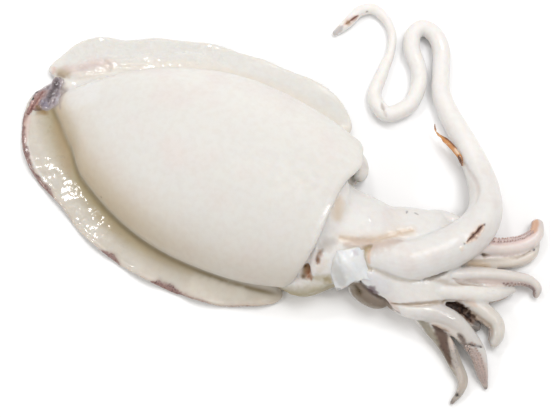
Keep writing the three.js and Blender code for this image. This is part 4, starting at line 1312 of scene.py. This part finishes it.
def paintCups():
    which = nearestArm(pointsOf(cups))[0]
    tone = plainTone(cups, "#DFC6BE")
    colours = {"A": ("#EACFC9", "#B27F78"), "C": ("#CDB4AD", "#93736B"), "F": ("#D3BEB6", "#B59A91"),
               "G": ("#D5CBC4", "#B8A9A0")}
    for index, name in enumerate(arms):
        rim, inner = colours.get(name, ("#DECDC2", "#B3988C"))
        tone = tintAll(tone, ((rim, (which == index) * 0.9), (inner, (which == index) * cupHollow * 0.8)))
    paint(cups, tone, 0.9, [])


paintCups()


# ---- finish ----

def addNode(tree, kind, inputs=None, **settings):
    node = tree.nodes.new(kind)
    for key, value in settings.items():
        setattr(node, key, value)
    for socket, value in (inputs or {}).items():
        if isinstance(value, bpy.types.NodeSocket):
            tree.links.new(value, node.inputs[socket])
        else:
            node.inputs[socket].default_value = value
    return node


finish = {
    "dryRough": 0.5,
    "wetRough": 0.3,
    "mottleSize": 3.5,  # sizes and depths in mm
    "speckGap": 1.1,
    "poreSize": 0.9,
    "poreDepth": 0.12,
    "filmSize": 5,
    "filmDepth": 0.9,
    "rubSize": 1.6,
    "waterRough": 0.1,
    "lightReach": 4,  # mm that light runs inside the flesh
}


def perMetre(size):
    # noise scale for features of that many mm
    return 1000 / size


def rawFlesh():
    # raw cuttlefish flesh: milky, lets light in for some millimetres, wet on top
    f = finish
    material = bpy.data.materials.new("rawCuttlefishFlesh")
    material.use_nodes = True
    tree = material.node_tree
    shader = tree.nodes["Principled BSDF"]
    where = addNode(tree, "ShaderNodeTexCoord").outputs["Object"]
    tone = addNode(tree, "ShaderNodeAttribute", attribute_name="tone").outputs["Color"]
    wet, ink, skin = (addNode(tree, "ShaderNodeAttribute", attribute_name=name).outputs["Fac"]
                      for name in ("wet", "ink", "skin"))

    def noiseOf(size, detail=2.0):
        inputs = {"Vector": where, "Scale": perMetre(size), "Detail": detail}
        return addNode(tree, "ShaderNodeTexNoise", inputs).outputs[0]

    def maths(operation, a, b):
        return addNode(tree, "ShaderNodeMath", {0: a, 1: b}, operation=operation).outputs[0]

    def ramp(value, low, high, toLow=0.0, toHigh=1.0):
        inputs = {"Value": value, "From Min": low, "From Max": high, "To Min": toLow, "To Max": toHigh}
        return addNode(tree, "ShaderNodeMapRange", inputs, interpolation_type="SMOOTHSTEP").outputs[0]

    def mix(share, a, b, blend="MIX"):
        inputs = {0: share, 6: a, 7: b}
        return addNode(tree, "ShaderNodeMix", inputs, data_type="RGBA", blend_type=blend).outputs[2]

    def rubbed(mask, roughness, low, high):
        # breaks up the edge of a mask
        edge = maths("ADD", mask, maths("MULTIPLY", maths("SUBTRACT", broken, 0.5), roughness))
        return maths("MULTIPLY", ramp(edge, low, high), ramp(mask, 0.02, 0.2))

    mottle = ramp(noiseOf(f["mottleSize"], 3), 0.35, 0.7, 0, 0.25)
    colour = mix(mottle, tone, linearColour("#F3ECE8"), "MULTIPLY")
    broken = noiseOf(f["rubSize"], 4)
    cells = addNode(tree, "ShaderNodeTexVoronoi", {"Vector": where, "Scale": perMetre(f["speckGap"])})
    specks = ramp(cells.outputs["Distance"], 0.1, 0.5)
    skinColour = mix(specks, linearColour("#54403E"), linearColour("#8F7470"))
    colour = mix(rubbed(skin, 0.9, 0.25, 0.8), colour, skinColour)
    colour = mix(rubbed(ink, 1.6, 0.45, 0.7), colour, linearColour("#2B1A14"))
    tree.links.new(colour, shader.inputs["Base Color"])

    rough = ramp(wet, 0.1, 0.9, f["dryRough"], f["wetRough"])
    film = ramp(noiseOf(f["filmSize"]), 0.35, 0.65, 0.8, 1.25)
    tree.links.new(maths("MULTIPLY", rough, film), shader.inputs["Roughness"])

    strength = ramp(wet, 0.2, 0.8, 0.08, 0.55)

    def bump(size, depth, detail, under=None):
        inputs = {"Height": noiseOf(size, detail), "Distance": depth * mm, "Strength": strength}
        if under:
            inputs["Normal"] = under
        return addNode(tree, "ShaderNodeBump", inputs).outputs[0]

    low = bump(f["filmSize"], f["filmDepth"], 1.5)
    tree.links.new(bump(f["poreSize"], f["poreDepth"], 2, low), shader.inputs["Normal"])

    # the film of water shines only where the flesh is wet, and lies smoothly over the pores
    tree.links.new(ramp(wet, 0.3, 0.9), shader.inputs["Coat Weight"])
    tree.links.new(low, shader.inputs["Coat Normal"])
    shader.inputs["Coat Roughness"].default_value = f["waterRough"]
    shader.inputs["IOR"].default_value = 1.38
    shader.inputs["Subsurface Weight"].default_value = 0.45
    shader.inputs["Subsurface Radius"].default_value = (1.0, 0.72, 0.5)
    shader.inputs["Subsurface Scale"].default_value = f["lightReach"] * mm
    return material


flesh = rawFlesh()
for piece in (body, crown, flap, strip, tip, cups):
    piece.data.materials.clear()
    piece.data.materials.append(flesh)
    piece.data.transform(Matrix.Scale(mm, 4))
    piece.data.shade_smooth()
    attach(piece, "root")
    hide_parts("cuttlefish")
